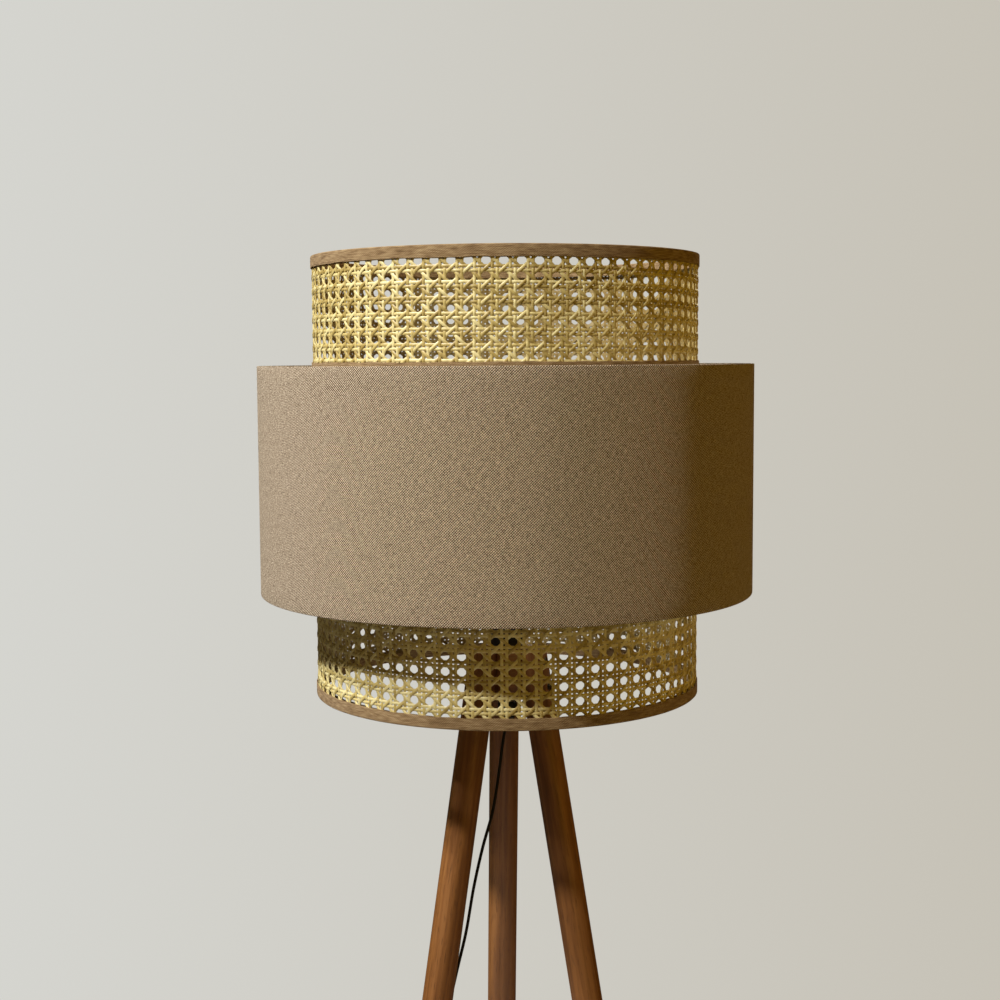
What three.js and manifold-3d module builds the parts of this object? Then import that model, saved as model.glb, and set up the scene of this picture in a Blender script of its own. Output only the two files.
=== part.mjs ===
// Tripod floor lamp. Three round wooden legs are screwed round a hub block, a lampholder with its
// bulb stands on the hub, and a three-tier drum shade (cane, linen, cane) hangs on the lampholder.
// The lead leaves under the hub and ends in a plug, with a foot switch on the way.
// Millimetres, +Z up. The origin is on the floor under the middle of the shade, and -Y is the front.

import * as THREE from 'three';
import { mergeVertices } from 'three/addons/utils/BufferGeometryUtils.js';
import Module from 'manifold-3d';

const wasm = await Module();
wasm.setup();

// ---- driving dimensions ----

const GAP = 0.3; // between pieces that touch
const OVERRUN = 10; // how far a cutting shape runs past what it cuts
const LAMP_HEIGHT = 1445;

// Shade tiers: outer radius and height of each drum.
const CANE_RADIUS = 175;
const LINEN_RADIUS = 225;
const LOWER_DRUM_BOTTOM = 1049;
const LINEN_BOTTOM = 1142;
const LINEN_TOP = 1348;
const CANE_DRUM_HEIGHT = 104;
const CANE_THICKNESS = 2.2;
const LINEN_THICKNESS = 1.4;
const TRIM_HEIGHT = 10;
const TRIM_THICKNESS = 0.9;
const WIRE_RADIUS = 1.5;
const WIRE_INSET = 2; // from a drum's edge to the middle of its wire

// Legs: round rods that lean outwards, their axes on these circles.
const LEG_RADIUS = 14;
const LEG_ANGLES = { leg_right: -25.5, leg_rear: 94.5, leg_left: 214.5 }; // degrees from +X
const FOOT_CIRCLE = 211.4; // axis radius at the floor
const HUB_CIRCLE = 24.6; // axis radius at the hub's top
const PAD_HEIGHT = 4;
const PAD_RADIUS = 12.5;

// Hub: a block with three flats, one for each leg.
const HUB_TOP = 1086;
const HUB_BOTTOM = 1042;
const HUB_FLAT = 20; // from the axis to each flat
const HUB_RADIUS = 28;
const HUB_BORE = 5.4;
const TUBE_RADIUS = 5; // M10 lamp tube
const TUBE_BORE = 3.6;
const TUBE_PROUD = 20; // over the hub's top

// Leg screws: two through each leg.
const SCREW_HEIGHTS = { upper: 1075, lower: 1053 };
const SCREW_RADIUS = 3;
const SCREW_LENGTH = 26;
const HEAD_RADIUS = 5;
const HEAD_HEIGHT = 5.5;
const SOCKET_RADIUS = 2.9; // hexagon socket, over its corners
const SOCKET_DEPTH = 3.3;
const HEAD_RECESS = 8; // depth of the counterbore under the leg's surface

// Lampholder, E27.
const CAP_TOP = HUB_TOP + 30;
const SKIRT_TOP = HUB_TOP + 60;
const SKIRT_RADIUS = 19.7;
const CAP_WALL = 2;
const SKIRT_WALL = 2.4;
const FLANGE_RADIUS = 22.5;
const FLANGE_HEIGHT = 3;
const CARRIER_INNER = 20.4;
const CARRIER_OUTER = 31;
const CARRIER_THICKNESS = 2;
const RING_HEIGHT = 7;
const RING_RADIUS = 25.5;

// Bulb, A60 on an E27 cap.
const BULB_RADIUS = 30;
const BULB_CAP_RADIUS = 13.2;
const BULB_TIP = CAP_TOP + 3.4;
const BULB_LENGTH = 105;
const BULB_CAP_LENGTH = 27;
const BULB_HOUSING_LENGTH = 36;
const DOME_WALL = 1.2;

// Lead: a twin flex, drawn as a round tube as wide as the flex.
const CORD_RADIUS = 2.7;
const CORD_FLOOR = 2.9; // height of its middle where it lies on the floor
const CORD_SIDES = 8;
const GRIP_BOTTOM = 1013;
const SWITCH_AT = [-35, 26];
const SWITCH_TURN = 10; // degrees
const SWITCH_LENGTH = 78;
const SWITCH_WIDTH = 40;
const SWITCH_BASE_HEIGHT = 6;
const SWITCH_HEIGHT = 20;
const SWITCH_CORD_HEIGHT = 7;
const NOZZLE_LENGTH = 7;
const COVER_WALL = 3;
const BUTTON_RADIUS = 12;
const BUTTON_TRAVEL = 3;
const COIL_AT = [80, 5];
const COIL_INNER = 26;
const COIL_OUTER = 39;
const COIL_HEIGHT = 11.6;
const PLUG_AT = [6, -39]; // where the lead enters it
const PLUG_TURN = 190; // degrees from +X, the way its pins point
const PLUG_LENGTH = 36;
const PLUG_HEIGHT = 13.7;
const PIN_RADIUS = 2;
const PIN_LENGTH = 19;
const PIN_SPACING = 18.6;

// The lead's route, chosen by hand: from the cord grip, down behind the left leg, to the switch.
const UPPER_ROUTE = [
  [-1.6, 0, 1012.2],
  [-2.6, 0, 1006],
  [-4.2, -0.3, 997],
  [-8.4, -2.6, 966],
  [-14.2, -6.5, 932],
  [-23.6, -10.6, 899],
  [-32, -15.4, 863],
  [-39.4, -20.8, 822],
  [-47.5, -25.5, 789],
  [-58, -28.5, 745],
  [-72, -29.5, 690],
  [-90, -28, 610],
  [-106, -25, 520],
  [-118, -21, 420],
  [-127, -16, 310],
  [-132.5, -10, 200],
  [-135, -4.5, 115],
  [-135, 0, 66],
  [-130.5, 4.5, 28],
  [-118, 9, 7.5],
  [-103, 13, 4],
  [-91, 16, 6],
  [-80.1, 18.05, SWITCH_CORD_HEIGHT],
];
const MIDDLE_ROUTE = [
  [10.1, 33.95, SWITCH_CORD_HEIGHT],
  [22, 36.1, 5],
  [36, 38.3, 3.1],
  [48, 39.6, CORD_FLOOR],
  [58.6, 40.4, CORD_FLOOR],
];
const TAIL_ROUTE = [
  [58.6, -30.6, 8],
  [47, -31.6, 6.2],
  [34, -33.6, 5],
  [20, -36.4, 5.8],
  [6.4, -38.9, PLUG_HEIGHT / 2],
];

// ---- finishes ----

function finish(color, roughness, metalness = 0) {
  return new THREE.MeshStandardMaterial({ color, roughness, metalness });
}

const WOOD = 0x8a5228;
const CANE = 0xc09a55;
const LINEN = 0x8f7654;
const TRIM = 0x8c7350;
const WIRE = 0xd8d6d0;
const STEEL = 0x9c9ea2;
const BRASS = 0xb08d45;
const BLACK = 0x161616;
const WHITE = 0xe6e4de;

// ---- geometry helpers ----

const radians = THREE.MathUtils.degToRad;

// A geometry as one closed mesh: shared corners merged, no collapsed faces, facing out.
function closed(geometry) {
  const bare = geometry.clone();
  bare.deleteAttribute('normal');
  bare.deleteAttribute('uv');
  const merged = mergeVertices(bare, 1e-4);
  const places = merged.getAttribute('position');
  const corners = merged.getIndex().array;
  const [a, b, c] = [new THREE.Vector3(), new THREE.Vector3(), new THREE.Vector3()];
  const faces = [];
  let volume = 0;
  for (let i = 0; i < corners.length; i += 3) {
    const [p, q, r] = corners.slice(i, i + 3);
    if (p === q || q === r || r === p) continue;
    a.fromBufferAttribute(places, p);
    b.fromBufferAttribute(places, q);
    c.fromBufferAttribute(places, r);
    volume += a.dot(b.cross(c));
    faces.push([p, q, r]);
  }
  if (volume < 0) faces.forEach((face) => face.reverse());
  merged.setIndex(faces.flat());
  return merged;
}

function toSolid(geometry) {
  const mesh = closed(geometry);
  return new wasm.Manifold(
    new wasm.Mesh({
      numProp: 3,
      vertProperties: new Float32Array(mesh.getAttribute('position').array),
      triVerts: new Uint32Array(mesh.getIndex().array),
    }),
  );
}

function toGeometry(solid) {
  const { vertProperties, triVerts } = solid.getMesh();
  const geometry = new THREE.BufferGeometry();
  geometry.setAttribute('position', new THREE.BufferAttribute(vertProperties, 3));
  geometry.setIndex(new THREE.BufferAttribute(triVerts, 1));
  return geometry;
}

function cut(geometry, ...tools) {
  return toGeometry(tools.reduce((left, tool) => left.subtract(toSolid(tool)), toSolid(geometry)));
}

function join(geometry, ...others) {
  return toGeometry(others.reduce((whole, other) => whole.add(toSolid(other)), toSolid(geometry)));
}

// A turned shape about +Z, from [radius, height] corners that start and end on the axis or that
// close on themselves.
function turned(corners, segments) {
  const points = corners.map(([radius, height]) => new THREE.Vector2(radius, height));
  return new THREE.LatheGeometry(points, segments).rotateX(Math.PI / 2);
}

function band(inner, outer, low, high, segments) {
  const corners = [[inner, low], [outer, low], [outer, high], [inner, high], [inner, low]];
  return turned(corners, segments);
}

// An upright rod about the Z axis.
function rod(radius, low, high, segments) {
  const height = high - low;
  const geometry = new THREE.CylinderGeometry(radius, radius, height, segments);
  return geometry.rotateX(Math.PI / 2).translate(0, 0, low + height / 2);
}

// A rod along the X axis, from x1 to x2, at a height.
function crossRod(radius, x1, x2, height, segments) {
  return rod(radius, x1, x2, segments).rotateY(Math.PI / 2).translate(0, 0, height);
}

function block(x1, x2, y1, y2, z1, z2) {
  const geometry = new THREE.BoxGeometry(x2 - x1, y2 - y1, z2 - z1);
  return geometry.translate((x1 + x2) / 2, (y1 + y2) / 2, (z1 + z2) / 2);
}

// A wire ring about the Z axis.
function wireRing(radius, height) {
  const sides = 5;
  const corners = [];
  for (let i = 0; i <= sides; i += 1) {
    const turn = (2 * Math.PI * (i % sides)) / sides;
    corners.push([radius + WIRE_RADIUS * Math.cos(turn), height + WIRE_RADIUS * Math.sin(turn)]);
  }
  return turned(corners, 40);
}

// A round tube along a smooth curve through the points.
function tubeAlong(points, radius, sides, steps) {
  const path = new THREE.CatmullRomCurve3(
    points.map((point) => new THREE.Vector3(...point)),
    false,
    'centripetal',
  );
  const section = new THREE.Shape();
  for (let i = 0; i < sides; i += 1) {
    const turn = (2 * Math.PI * i) / sides;
    section[i ? 'lineTo' : 'moveTo'](radius * Math.cos(turn), radius * Math.sin(turn));
  }
  return new THREE.ExtrudeGeometry(section, { steps, extrudePath: path });
}

// A box with round upright ends along X (a stadium in plan), with its edges bevelled.
function stadium(length, width, low, high, bevel) {
  const radius = width / 2 - bevel;
  const middle = length / 2 - width / 2;
  const outline = new THREE.Shape();
  outline.absarc(middle, 0, radius, -Math.PI / 2, Math.PI / 2, false);
  outline.absarc(-middle, 0, radius, Math.PI / 2, (3 * Math.PI) / 2, false);
  const geometry = new THREE.ExtrudeGeometry(outline, {
    depth: high - low - 2 * bevel,
    curveSegments: 10,
    bevelSize: bevel,
    bevelThickness: bevel,
    bevelSegments: 2,
  });
  return geometry.translate(0, 0, low + bevel);
}

const lamp = new THREE.Group();

function piece(name, geometry, color, roughness, metalness, turn = 0) {
  const mesh = new THREE.Mesh(closed(geometry), finish(color, roughness, metalness));
  mesh.name = name;
  mesh.rotation.z = radians(turn);
  lamp.add(mesh);
  return mesh;
}

// ---- legs, pads and leg screws ----

const LEG_SLOPE = (FOOT_CIRCLE - HUB_CIRCLE) / HUB_TOP;
const LEG_LEAN = Math.atan(LEG_SLOPE);

function legAxisAt(height) {
  return FOOT_CIRCLE - LEG_SLOPE * height;
}

// Where the flat bottom of a screw's counterbore is, from the lamp's axis.
function screwSeat(height) {
  return legAxisAt(height) + LEG_RADIUS / Math.cos(LEG_LEAN) - HEAD_RECESS;
}

// A leg in the XZ plane: a rod with a chamfered top, cut level at the foot, cut flat where it
// meets the hub, and drilled for its screws.
function legShape() {
  const chamfer = 1.5;
  const width = 2 * LEG_RADIUS + OVERRUN;
  const length = HUB_TOP / Math.cos(LEG_LEAN);
  const profile = [
    [0, -OVERRUN],
    [LEG_RADIUS, -OVERRUN],
    [LEG_RADIUS, length - chamfer],
    [LEG_RADIUS - chamfer, length],
    [0, length],
  ];
  const straight = turned(profile, 32).rotateY(-LEG_LEAN).translate(FOOT_CIRCLE, 0, 0);
  const below = block(
    FOOT_CIRCLE - width, FOOT_CIRCLE + width, -width, width, -width, PAD_HEIGHT,
  );
  const hubSide = block(
    -width, HUB_FLAT + GAP, -width, width, HUB_BOTTOM - 2 * width, HUB_TOP + width,
  );
  const outside = FOOT_CIRCLE / 2;
  const holes = Object.values(SCREW_HEIGHTS).flatMap((height) => [
    crossRod(SCREW_RADIUS + GAP, 0, outside, height, 12),
    crossRod(HEAD_RADIUS + GAP, screwSeat(height), outside, height, 16),
  ]);
  return cut(straight, below, hubSide, ...holes);
}

// A cap screw along X with its head's seat at x = 0 and its tip at -SCREW_LENGTH.
function screwShape() {
  const shank = crossRod(SCREW_RADIUS, -SCREW_LENGTH, 1, 0, 12);
  const head = crossRod(HEAD_RADIUS, 0, HEAD_HEIGHT, 0, 16);
  const socket = crossRod(SOCKET_RADIUS, HEAD_HEIGHT - SOCKET_DEPTH, HEAD_HEIGHT + 1, 0, 6);
  return cut(join(shank, head), socket);
}

for (const [name, angle] of Object.entries(LEG_ANGLES)) {
  const side = name.replace('leg_', '');
  piece(name, legShape(), WOOD, 0.5, 0, angle);
  const pad = turned(
    [
      [0, 0],
      [PAD_RADIUS, 0],
      [PAD_RADIUS, PAD_HEIGHT - GAP],
      [0, PAD_HEIGHT - GAP],
    ],
    24,
  );
  pad.translate(legAxisAt(PAD_HEIGHT), 0, 0);
  piece(`foot_pad_${side}`, pad, BLACK, 0.8, 0, angle);
  for (const [place, height] of Object.entries(SCREW_HEIGHTS)) {
    const screw = screwShape().translate(screwSeat(height) + GAP, 0, height);
    piece(`leg_screw_${side}_${place}`, screw, STEEL, 0.35, 1, angle);
  }
}

// ---- hub and what clamps it ----

// The hub block: a round block with three flats, bored for the tube and the leg screws.
function hubShape() {
  const chamfer = 1;
  const flat = HUB_FLAT - chamfer;
  const radius = HUB_RADIUS - chamfer;
  const half = Math.acos(flat / radius);
  const outline = new THREE.Shape();
  for (const angle of Object.values(LEG_ANGLES)) {
    const start = radians(angle) + half;
    outline.absarc(0, 0, radius, start, start + radians(120) - 2 * half, false);
  }
  const body = new THREE.ExtrudeGeometry(outline, {
    depth: HUB_TOP - HUB_BOTTOM - 2 * chamfer,
    curveSegments: 6,
    bevelSize: chamfer,
    bevelThickness: chamfer,
    bevelSegments: 1,
  }).translate(0, 0, HUB_BOTTOM + chamfer);
  const bores = [rod(HUB_BORE, HUB_BOTTOM - OVERRUN, HUB_TOP + OVERRUN, 16)];
  for (const angle of Object.values(LEG_ANGLES)) {
    for (const height of Object.values(SCREW_HEIGHTS)) {
      const tip = screwSeat(height) - SCREW_LENGTH;
      const bore = crossRod(SCREW_RADIUS + GAP, tip, HUB_RADIUS + OVERRUN, height, 12);
      bores.push(bore.rotateZ(radians(angle)));
    }
  }
  return cut(body, ...bores);
}

const WASHER_TOP = HUB_BOTTOM - GAP;
const WASHER_BOTTOM = WASHER_TOP - 1.5;
const NUT_TOP = WASHER_BOTTOM - GAP;
const NUT_BOTTOM = NUT_TOP - 4.5;
const GRIP_TOP = NUT_BOTTOM - GAP;
const THREAD_CLEAR = TUBE_RADIUS + GAP;
const TUBE_TOP = HUB_TOP + TUBE_PROUD;
const TUBE_BOTTOM = GRIP_BOTTOM + 9;

// The cord grip: a collar on the tube that tapers down to the lead.
function gripShape() {
  return turned(
    [
      [TUBE_BORE, GRIP_BOTTOM],
      [4.9, GRIP_BOTTOM],
      [5.6, GRIP_BOTTOM + 1],
      [7, GRIP_BOTTOM + 9],
      [8.8, GRIP_BOTTOM + 11],
      [8.8, GRIP_TOP - 1],
      [7.8, GRIP_TOP],
      [THREAD_CLEAR, GRIP_TOP],
      [THREAD_CLEAR, TUBE_BOTTOM - GAP],
      [TUBE_BORE, TUBE_BOTTOM - GAP],
      [TUBE_BORE, GRIP_BOTTOM],
    ],
    20,
  );
}

piece('hub_block', hubShape(), WOOD, 0.5, 0);
piece('lamp_tube', band(TUBE_BORE, TUBE_RADIUS, TUBE_BOTTOM, TUBE_TOP, 16), BRASS, 0.4, 1);
piece('hub_washer', band(THREAD_CLEAR, 11, WASHER_BOTTOM, WASHER_TOP, 20), STEEL, 0.4, 1);
piece(
  'hub_nut',
  cut(rod(8.1, NUT_BOTTOM, NUT_TOP, 6), rod(THREAD_CLEAR, NUT_BOTTOM - 1, NUT_TOP + 1, 16)),
  STEEL,
  0.4,
  1,
);
piece('cord_grip', gripShape(), BLACK, 0.6, 0);

// ---- lampholder ----

const FLANGE_TOP = CAP_TOP + GAP + FLANGE_HEIGHT;
const CARRIER_BOTTOM = FLANGE_TOP + GAP;
const CARRIER_TOP = CARRIER_BOTTOM + CARRIER_THICKNESS;
const RING_BOTTOM = CARRIER_TOP + GAP;

function holderCapShape() {
  const low = HUB_TOP + GAP;
  return turned(
    [
      [THREAD_CLEAR, low],
      [13.5, low],
      [15, low + 1.5],
      [16, low + 16],
      [SKIRT_RADIUS, low + 23],
      [SKIRT_RADIUS, CAP_TOP],
      [SKIRT_RADIUS - CAP_WALL, CAP_TOP],
      [SKIRT_RADIUS - CAP_WALL, low + 24],
      [14, low + 16],
      [13, low + 3],
      [THREAD_CLEAR, low + 3],
      [THREAD_CLEAR, low],
    ],
    24,
  );
}

function holderSkirtShape() {
  const low = CAP_TOP + GAP;
  const inner = SKIRT_RADIUS - SKIRT_WALL;
  return turned(
    [
      [inner, low],
      [FLANGE_RADIUS, low],
      [FLANGE_RADIUS, FLANGE_TOP],
      [SKIRT_RADIUS, FLANGE_TOP],
      [SKIRT_RADIUS, SKIRT_TOP - 1],
      [SKIRT_RADIUS - 1, SKIRT_TOP],
      [inner, SKIRT_TOP],
      [inner, low],
    ],
    24,
  );
}

const INSERT_TOP = CAP_TOP + 1.5;
const INSERT_BOTTOM = INSERT_TOP - 5;

// A round insert with a slot for the lead's wires.
function insertShape() {
  const disc = rod(SKIRT_RADIUS - SKIRT_WALL - 0.4, INSERT_BOTTOM, INSERT_TOP, 24);
  return cut(disc, block(4, 9, -3, 3, INSERT_BOTTOM - OVERRUN, INSERT_TOP + OVERRUN));
}

piece('holder_cap', holderCapShape(), BLACK, 0.45, 0);
piece('holder_skirt', holderSkirtShape(), BLACK, 0.45, 0);
piece('holder_insert', insertShape(), WHITE, 0.5, 0);
piece('holder_screw_shell', band(13.6, 14.1, INSERT_TOP + GAP, SKIRT_TOP - 6, 24), BRASS, 0.4, 1);
piece(
  'holder_contact',
  block(-5, 5, -2, 2, INSERT_TOP + GAP, INSERT_TOP + 0.9),
  BRASS,
  0.4,
  1,
);
piece(
  'shade_ring',
  band(SKIRT_RADIUS + GAP, RING_RADIUS, RING_BOTTOM, RING_BOTTOM + RING_HEIGHT, 24),
  BLACK,
  0.45,
  0,
);

// ---- bulb ----

const BULB_RIM = BULB_TIP + BULB_CAP_LENGTH; // top of its metal cap
const BULB_WAIST = BULB_RIM + BULB_HOUSING_LENGTH; // where the opal dome sits on the housing
const BULB_TOP = BULB_TIP + BULB_LENGTH;

piece(
  'bulb_contact',
  turned([[0, BULB_TIP], [4, BULB_TIP], [4.6, BULB_TIP + 1.2], [0, BULB_TIP + 1.2]], 16),
  STEEL,
  0.35,
  1,
);
piece(
  'bulb_cap',
  turned(
    [
      [0, BULB_TIP + 1.5],
      [5.5, BULB_TIP + 1.5],
      [10, BULB_TIP + 4.5],
      [BULB_CAP_RADIUS, BULB_TIP + 6],
      [BULB_CAP_RADIUS, BULB_RIM],
      [0, BULB_RIM],
    ],
    20,
  ),
  STEEL,
  0.35,
  1,
);
piece(
  'bulb_housing',
  turned(
    [
      [0, BULB_RIM + GAP],
      [13.6, BULB_RIM + GAP],
      [15, BULB_RIM + 6],
      [20.5, BULB_RIM + 20],
      [27.5, BULB_WAIST - 3],
      [27.8, BULB_WAIST],
      [0, BULB_WAIST],
    ],
    24,
  ),
  WHITE,
  0.4,
  0,
);
piece('bulb_board', rod(22, BULB_WAIST + GAP, BULB_WAIST + 1.9, 20), STEEL, 0.5, 1);

// The opal dome: a shell, open below, from the housing's rim round to the top.
function domeShape() {
  const low = BULB_WAIST + GAP;
  const height = BULB_TOP - low;
  const start = 20; // degrees under the dome's widest circle
  const steps = 6;
  const sink = Math.sin(radians(start));
  const corners = [];
  for (const inset of [0, DOME_WALL]) {
    const radius = BULB_RADIUS - inset;
    const arc = [];
    for (let i = 0; i <= steps; i += 1) {
      const turn = radians(((90 + start) * i) / steps - start);
      const lift = (Math.sin(turn) + sink) / (1 + sink);
      arc.push([i === steps ? 0 : radius * Math.cos(turn), low + (height - inset) * lift]);
    }
    corners.push(...(corners.length ? arc.reverse() : arc));
  }
  corners.push(corners[0]);
  return turned(corners, 24);
}

piece('bulb_dome', domeShape(), WHITE, 0.3, 0);

// ---- shade ----

const UPPER_DRUM_BOTTOM = LAMP_HEIGHT - CANE_DRUM_HEIGHT;
const LOWER_DRUM_TOP = LOWER_DRUM_BOTTOM + CANE_DRUM_HEIGHT;
const CANE_SEGMENTS = 48;
const RING_CLEARANCE = 0.6; // between a drum's wall and the wire inside it
const SPOKE_CLEARANCE = 0.8; // between the lower drum's top and the spokes over it
const CANE_RING = CANE_RADIUS - CANE_THICKNESS - RING_CLEARANCE - WIRE_RADIUS;
const LINEN_RING = LINEN_RADIUS - LINEN_THICKNESS - RING_CLEARANCE - WIRE_RADIUS;

// Each cane drum: a thin wall, an edge tape at the top and the bottom, and a wire ring at each.
for (const [name, low] of [['upper', UPPER_DRUM_BOTTOM], ['lower', LOWER_DRUM_BOTTOM]]) {
  const high = low + CANE_DRUM_HEIGHT;
  const inner = CANE_RADIUS - CANE_THICKNESS;
  const tape = [CANE_RADIUS + GAP, CANE_RADIUS + GAP + TRIM_THICKNESS];
  piece(`${name}_drum_cane`, band(inner, CANE_RADIUS, low, high, CANE_SEGMENTS), CANE, 0.7, 0);
  for (const [edge, bottom] of [['bottom', low], ['top', high - TRIM_HEIGHT]]) {
    const trim = band(...tape, bottom, bottom + TRIM_HEIGHT, CANE_SEGMENTS);
    piece(`${name}_drum_${edge}_tape`, trim, TRIM, 0.9, 0);
  }
  piece(`${name}_drum_top_wire`, wireRing(CANE_RING, high - WIRE_INSET), WIRE, 0.4, 1);
  piece(`${name}_drum_bottom_wire`, wireRing(CANE_RING, low + WIRE_INSET), WIRE, 0.4, 1);
}

const LINEN_INNER = LINEN_RADIUS - LINEN_THICKNESS;
const WIRE_STEP = 2 * WIRE_RADIUS + GAP; // between the middles of two wires, one on the other
const BAR_HEIGHT = UPPER_DRUM_BOTTOM + WIRE_INSET - WIRE_STEP;
const SPOKE_HEIGHT = LOWER_DRUM_TOP + WIRE_RADIUS + SPOKE_CLEARANCE;
const SPOKE_END = LINEN_BOTTOM + WIRE_INSET + WIRE_STEP;

piece('linen_drum', band(LINEN_INNER, LINEN_RADIUS, LINEN_BOTTOM, LINEN_TOP, 64), LINEN, 0.9, 0);
piece('linen_top_wire', wireRing(LINEN_RING, BAR_HEIGHT + WIRE_STEP), WIRE, 0.4, 1);
piece('linen_bottom_wire', wireRing(LINEN_RING, SPOKE_END - WIRE_STEP), WIRE, 0.4, 1);
piece(
  'carrier_ring',
  band(CARRIER_INNER, CARRIER_OUTER, CARRIER_BOTTOM, CARRIER_TOP, 24),
  WIRE,
  0.4,
  1,
);

// Three bent spokes from the carrier ring, over the lower cane drum's upper wire, to the linen
// drum's lower wire.
const SPOKE_START = CARRIER_TOP + GAP + WIRE_RADIUS;
const SPOKE_ROUTE = [
  [28, 0, SPOKE_START],
  [34, 0, SPOKE_START + 0.5],
  [46, 0, SPOKE_START + 11],
  [59, 0, SPOKE_HEIGHT - 5],
  [73, 0, SPOKE_HEIGHT],
  [100, 0, SPOKE_HEIGHT],
  [182, 0, SPOKE_HEIGHT],
  [196, 0, SPOKE_HEIGHT - 2],
  [210, 0, SPOKE_END + 1],
  [LINEN_RING, 0, SPOKE_END],
];

for (let i = 0; i < 3; i += 1) {
  const spoke = tubeAlong(SPOKE_ROUTE, WIRE_RADIUS, 6, 22);
  piece(`carrier_spoke_${i + 1}`, spoke, WIRE, 0.4, 1, 34.5 + 120 * i);
}

// Four short bars join the upper drum's lower wire to the linen drum's upper wire.
for (let i = 0; i < 4; i += 1) {
  const bar = crossRod(WIRE_RADIUS, CANE_RING - WIRE_RADIUS, LINEN_RING, BAR_HEIGHT, 6);
  piece(`link_bar_${i + 1}`, bar, WIRE, 0.4, 1, 45 + 90 * i);
}

// ---- lead, foot switch and plug ----

piece('cord_upper', tubeAlong(UPPER_ROUTE, CORD_RADIUS, CORD_SIDES, 58), BLACK, 0.5, 0);
piece('cord_middle', tubeAlong(MIDDLE_ROUTE, CORD_RADIUS, CORD_SIDES, 6), BLACK, 0.5, 0);
piece('cord_tail', tubeAlong(TAIL_ROUTE, CORD_RADIUS, CORD_SIDES, 6), BLACK, 0.5, 0);

const coil = band(COIL_INNER, COIL_OUTER, 0, COIL_HEIGHT, 32).translate(...COIL_AT, 0);
piece('cord_coil', coil, BLACK, 0.5, 0);

// The foot switch lies along X: a base plate, a domed cover with an entry nozzle at each end, and
// a round button that goes down into the cover.
function switchBaseShape() {
  return stadium(SWITCH_LENGTH, SWITCH_WIDTH, 0, SWITCH_BASE_HEIGHT, 1);
}

function switchCoverShape() {
  const low = SWITCH_BASE_HEIGHT + GAP;
  const shell = stadium(SWITCH_LENGTH, SWITCH_WIDTH, low, SWITCH_HEIGHT, 3);
  const nozzle = new THREE.CylinderGeometry(3.6, 4.6, NOZZLE_LENGTH, 12).rotateZ(-Math.PI / 2);
  const reach = SWITCH_LENGTH / 2 + NOZZLE_LENGTH / 2 - 1;
  const height = low + 4.7;
  const right = nozzle.clone().translate(reach, 0, height);
  const left = nozzle.clone().rotateZ(Math.PI).translate(-reach, 0, height);
  const well = rod(BUTTON_RADIUS + GAP, low + COVER_WALL, SWITCH_HEIGHT + OVERRUN, 20);
  const inner = [SWITCH_LENGTH - 2 * COVER_WALL, SWITCH_WIDTH - 2 * COVER_WALL];
  const hollow = stadium(...inner, low - 5, low + 2, 0.5);
  return cut(join(shell, right, left), well, hollow);
}

function buttonShape() {
  const low = SWITCH_HEIGHT - 6;
  const high = SWITCH_HEIGHT + BUTTON_TRAVEL + 1;
  return turned(
    [
      [0, low],
      [BUTTON_RADIUS, low],
      [BUTTON_RADIUS, high - 1.5],
      [BUTTON_RADIUS - 1.5, high - 0.3],
      [BUTTON_RADIUS - 4, high],
      [0, high],
    ],
    20,
  );
}

const switchPieces = [
  piece('switch_base', switchBaseShape(), BLACK, 0.6, 0),
  piece('switch_cover', switchCoverShape(), BLACK, 0.5, 0),
  piece('switch_button', buttonShape(), BLACK, 0.4, 0),
];
for (const mesh of switchPieces) {
  mesh.position.set(...SWITCH_AT, 0);
  mesh.rotation.z = radians(SWITCH_TURN);
}

// A flat two-pin plug along +X from the point where the lead enters it.
function plugBodyShape() {
  const outline = new THREE.Shape();
  outline.moveTo(0, -4);
  outline.lineTo(10, -5.5);
  outline.lineTo(16, -13);
  outline.lineTo(PLUG_LENGTH - 4, -17.6);
  outline.lineTo(PLUG_LENGTH, -14);
  outline.lineTo(PLUG_LENGTH, 14);
  outline.lineTo(PLUG_LENGTH - 4, 17.6);
  outline.lineTo(16, 13);
  outline.lineTo(10, 5.5);
  outline.lineTo(0, 4);
  const bevel = 1;
  return new THREE.ExtrudeGeometry(outline, {
    depth: PLUG_HEIGHT - 2 * bevel,
    bevelSize: bevel,
    bevelThickness: bevel,
    bevelOffset: -bevel,
    bevelSegments: 1,
  }).translate(0, 0, bevel);
}

const plugPieces = [piece('plug_body', plugBodyShape(), BLACK, 0.5, 0)];
for (const [name, side] of [['plug_pin_1', -1], ['plug_pin_2', 1]]) {
  const start = PLUG_LENGTH + GAP;
  const pin = crossRod(PIN_RADIUS, start, start + PIN_LENGTH, PLUG_HEIGHT / 2, 12);
  pin.translate(0, (side * PIN_SPACING) / 2, 0);
  plugPieces.push(piece(name, pin, STEEL, 0.3, 1));
}
for (const mesh of plugPieces) {
  mesh.position.set(...PLUG_AT, 0);
  mesh.rotation.z = radians(PLUG_TURN);
}

export default lamp;
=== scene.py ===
import math

import bmesh
import bpy
import numpy as np
from mathutils import Matrix, Vector


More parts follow.
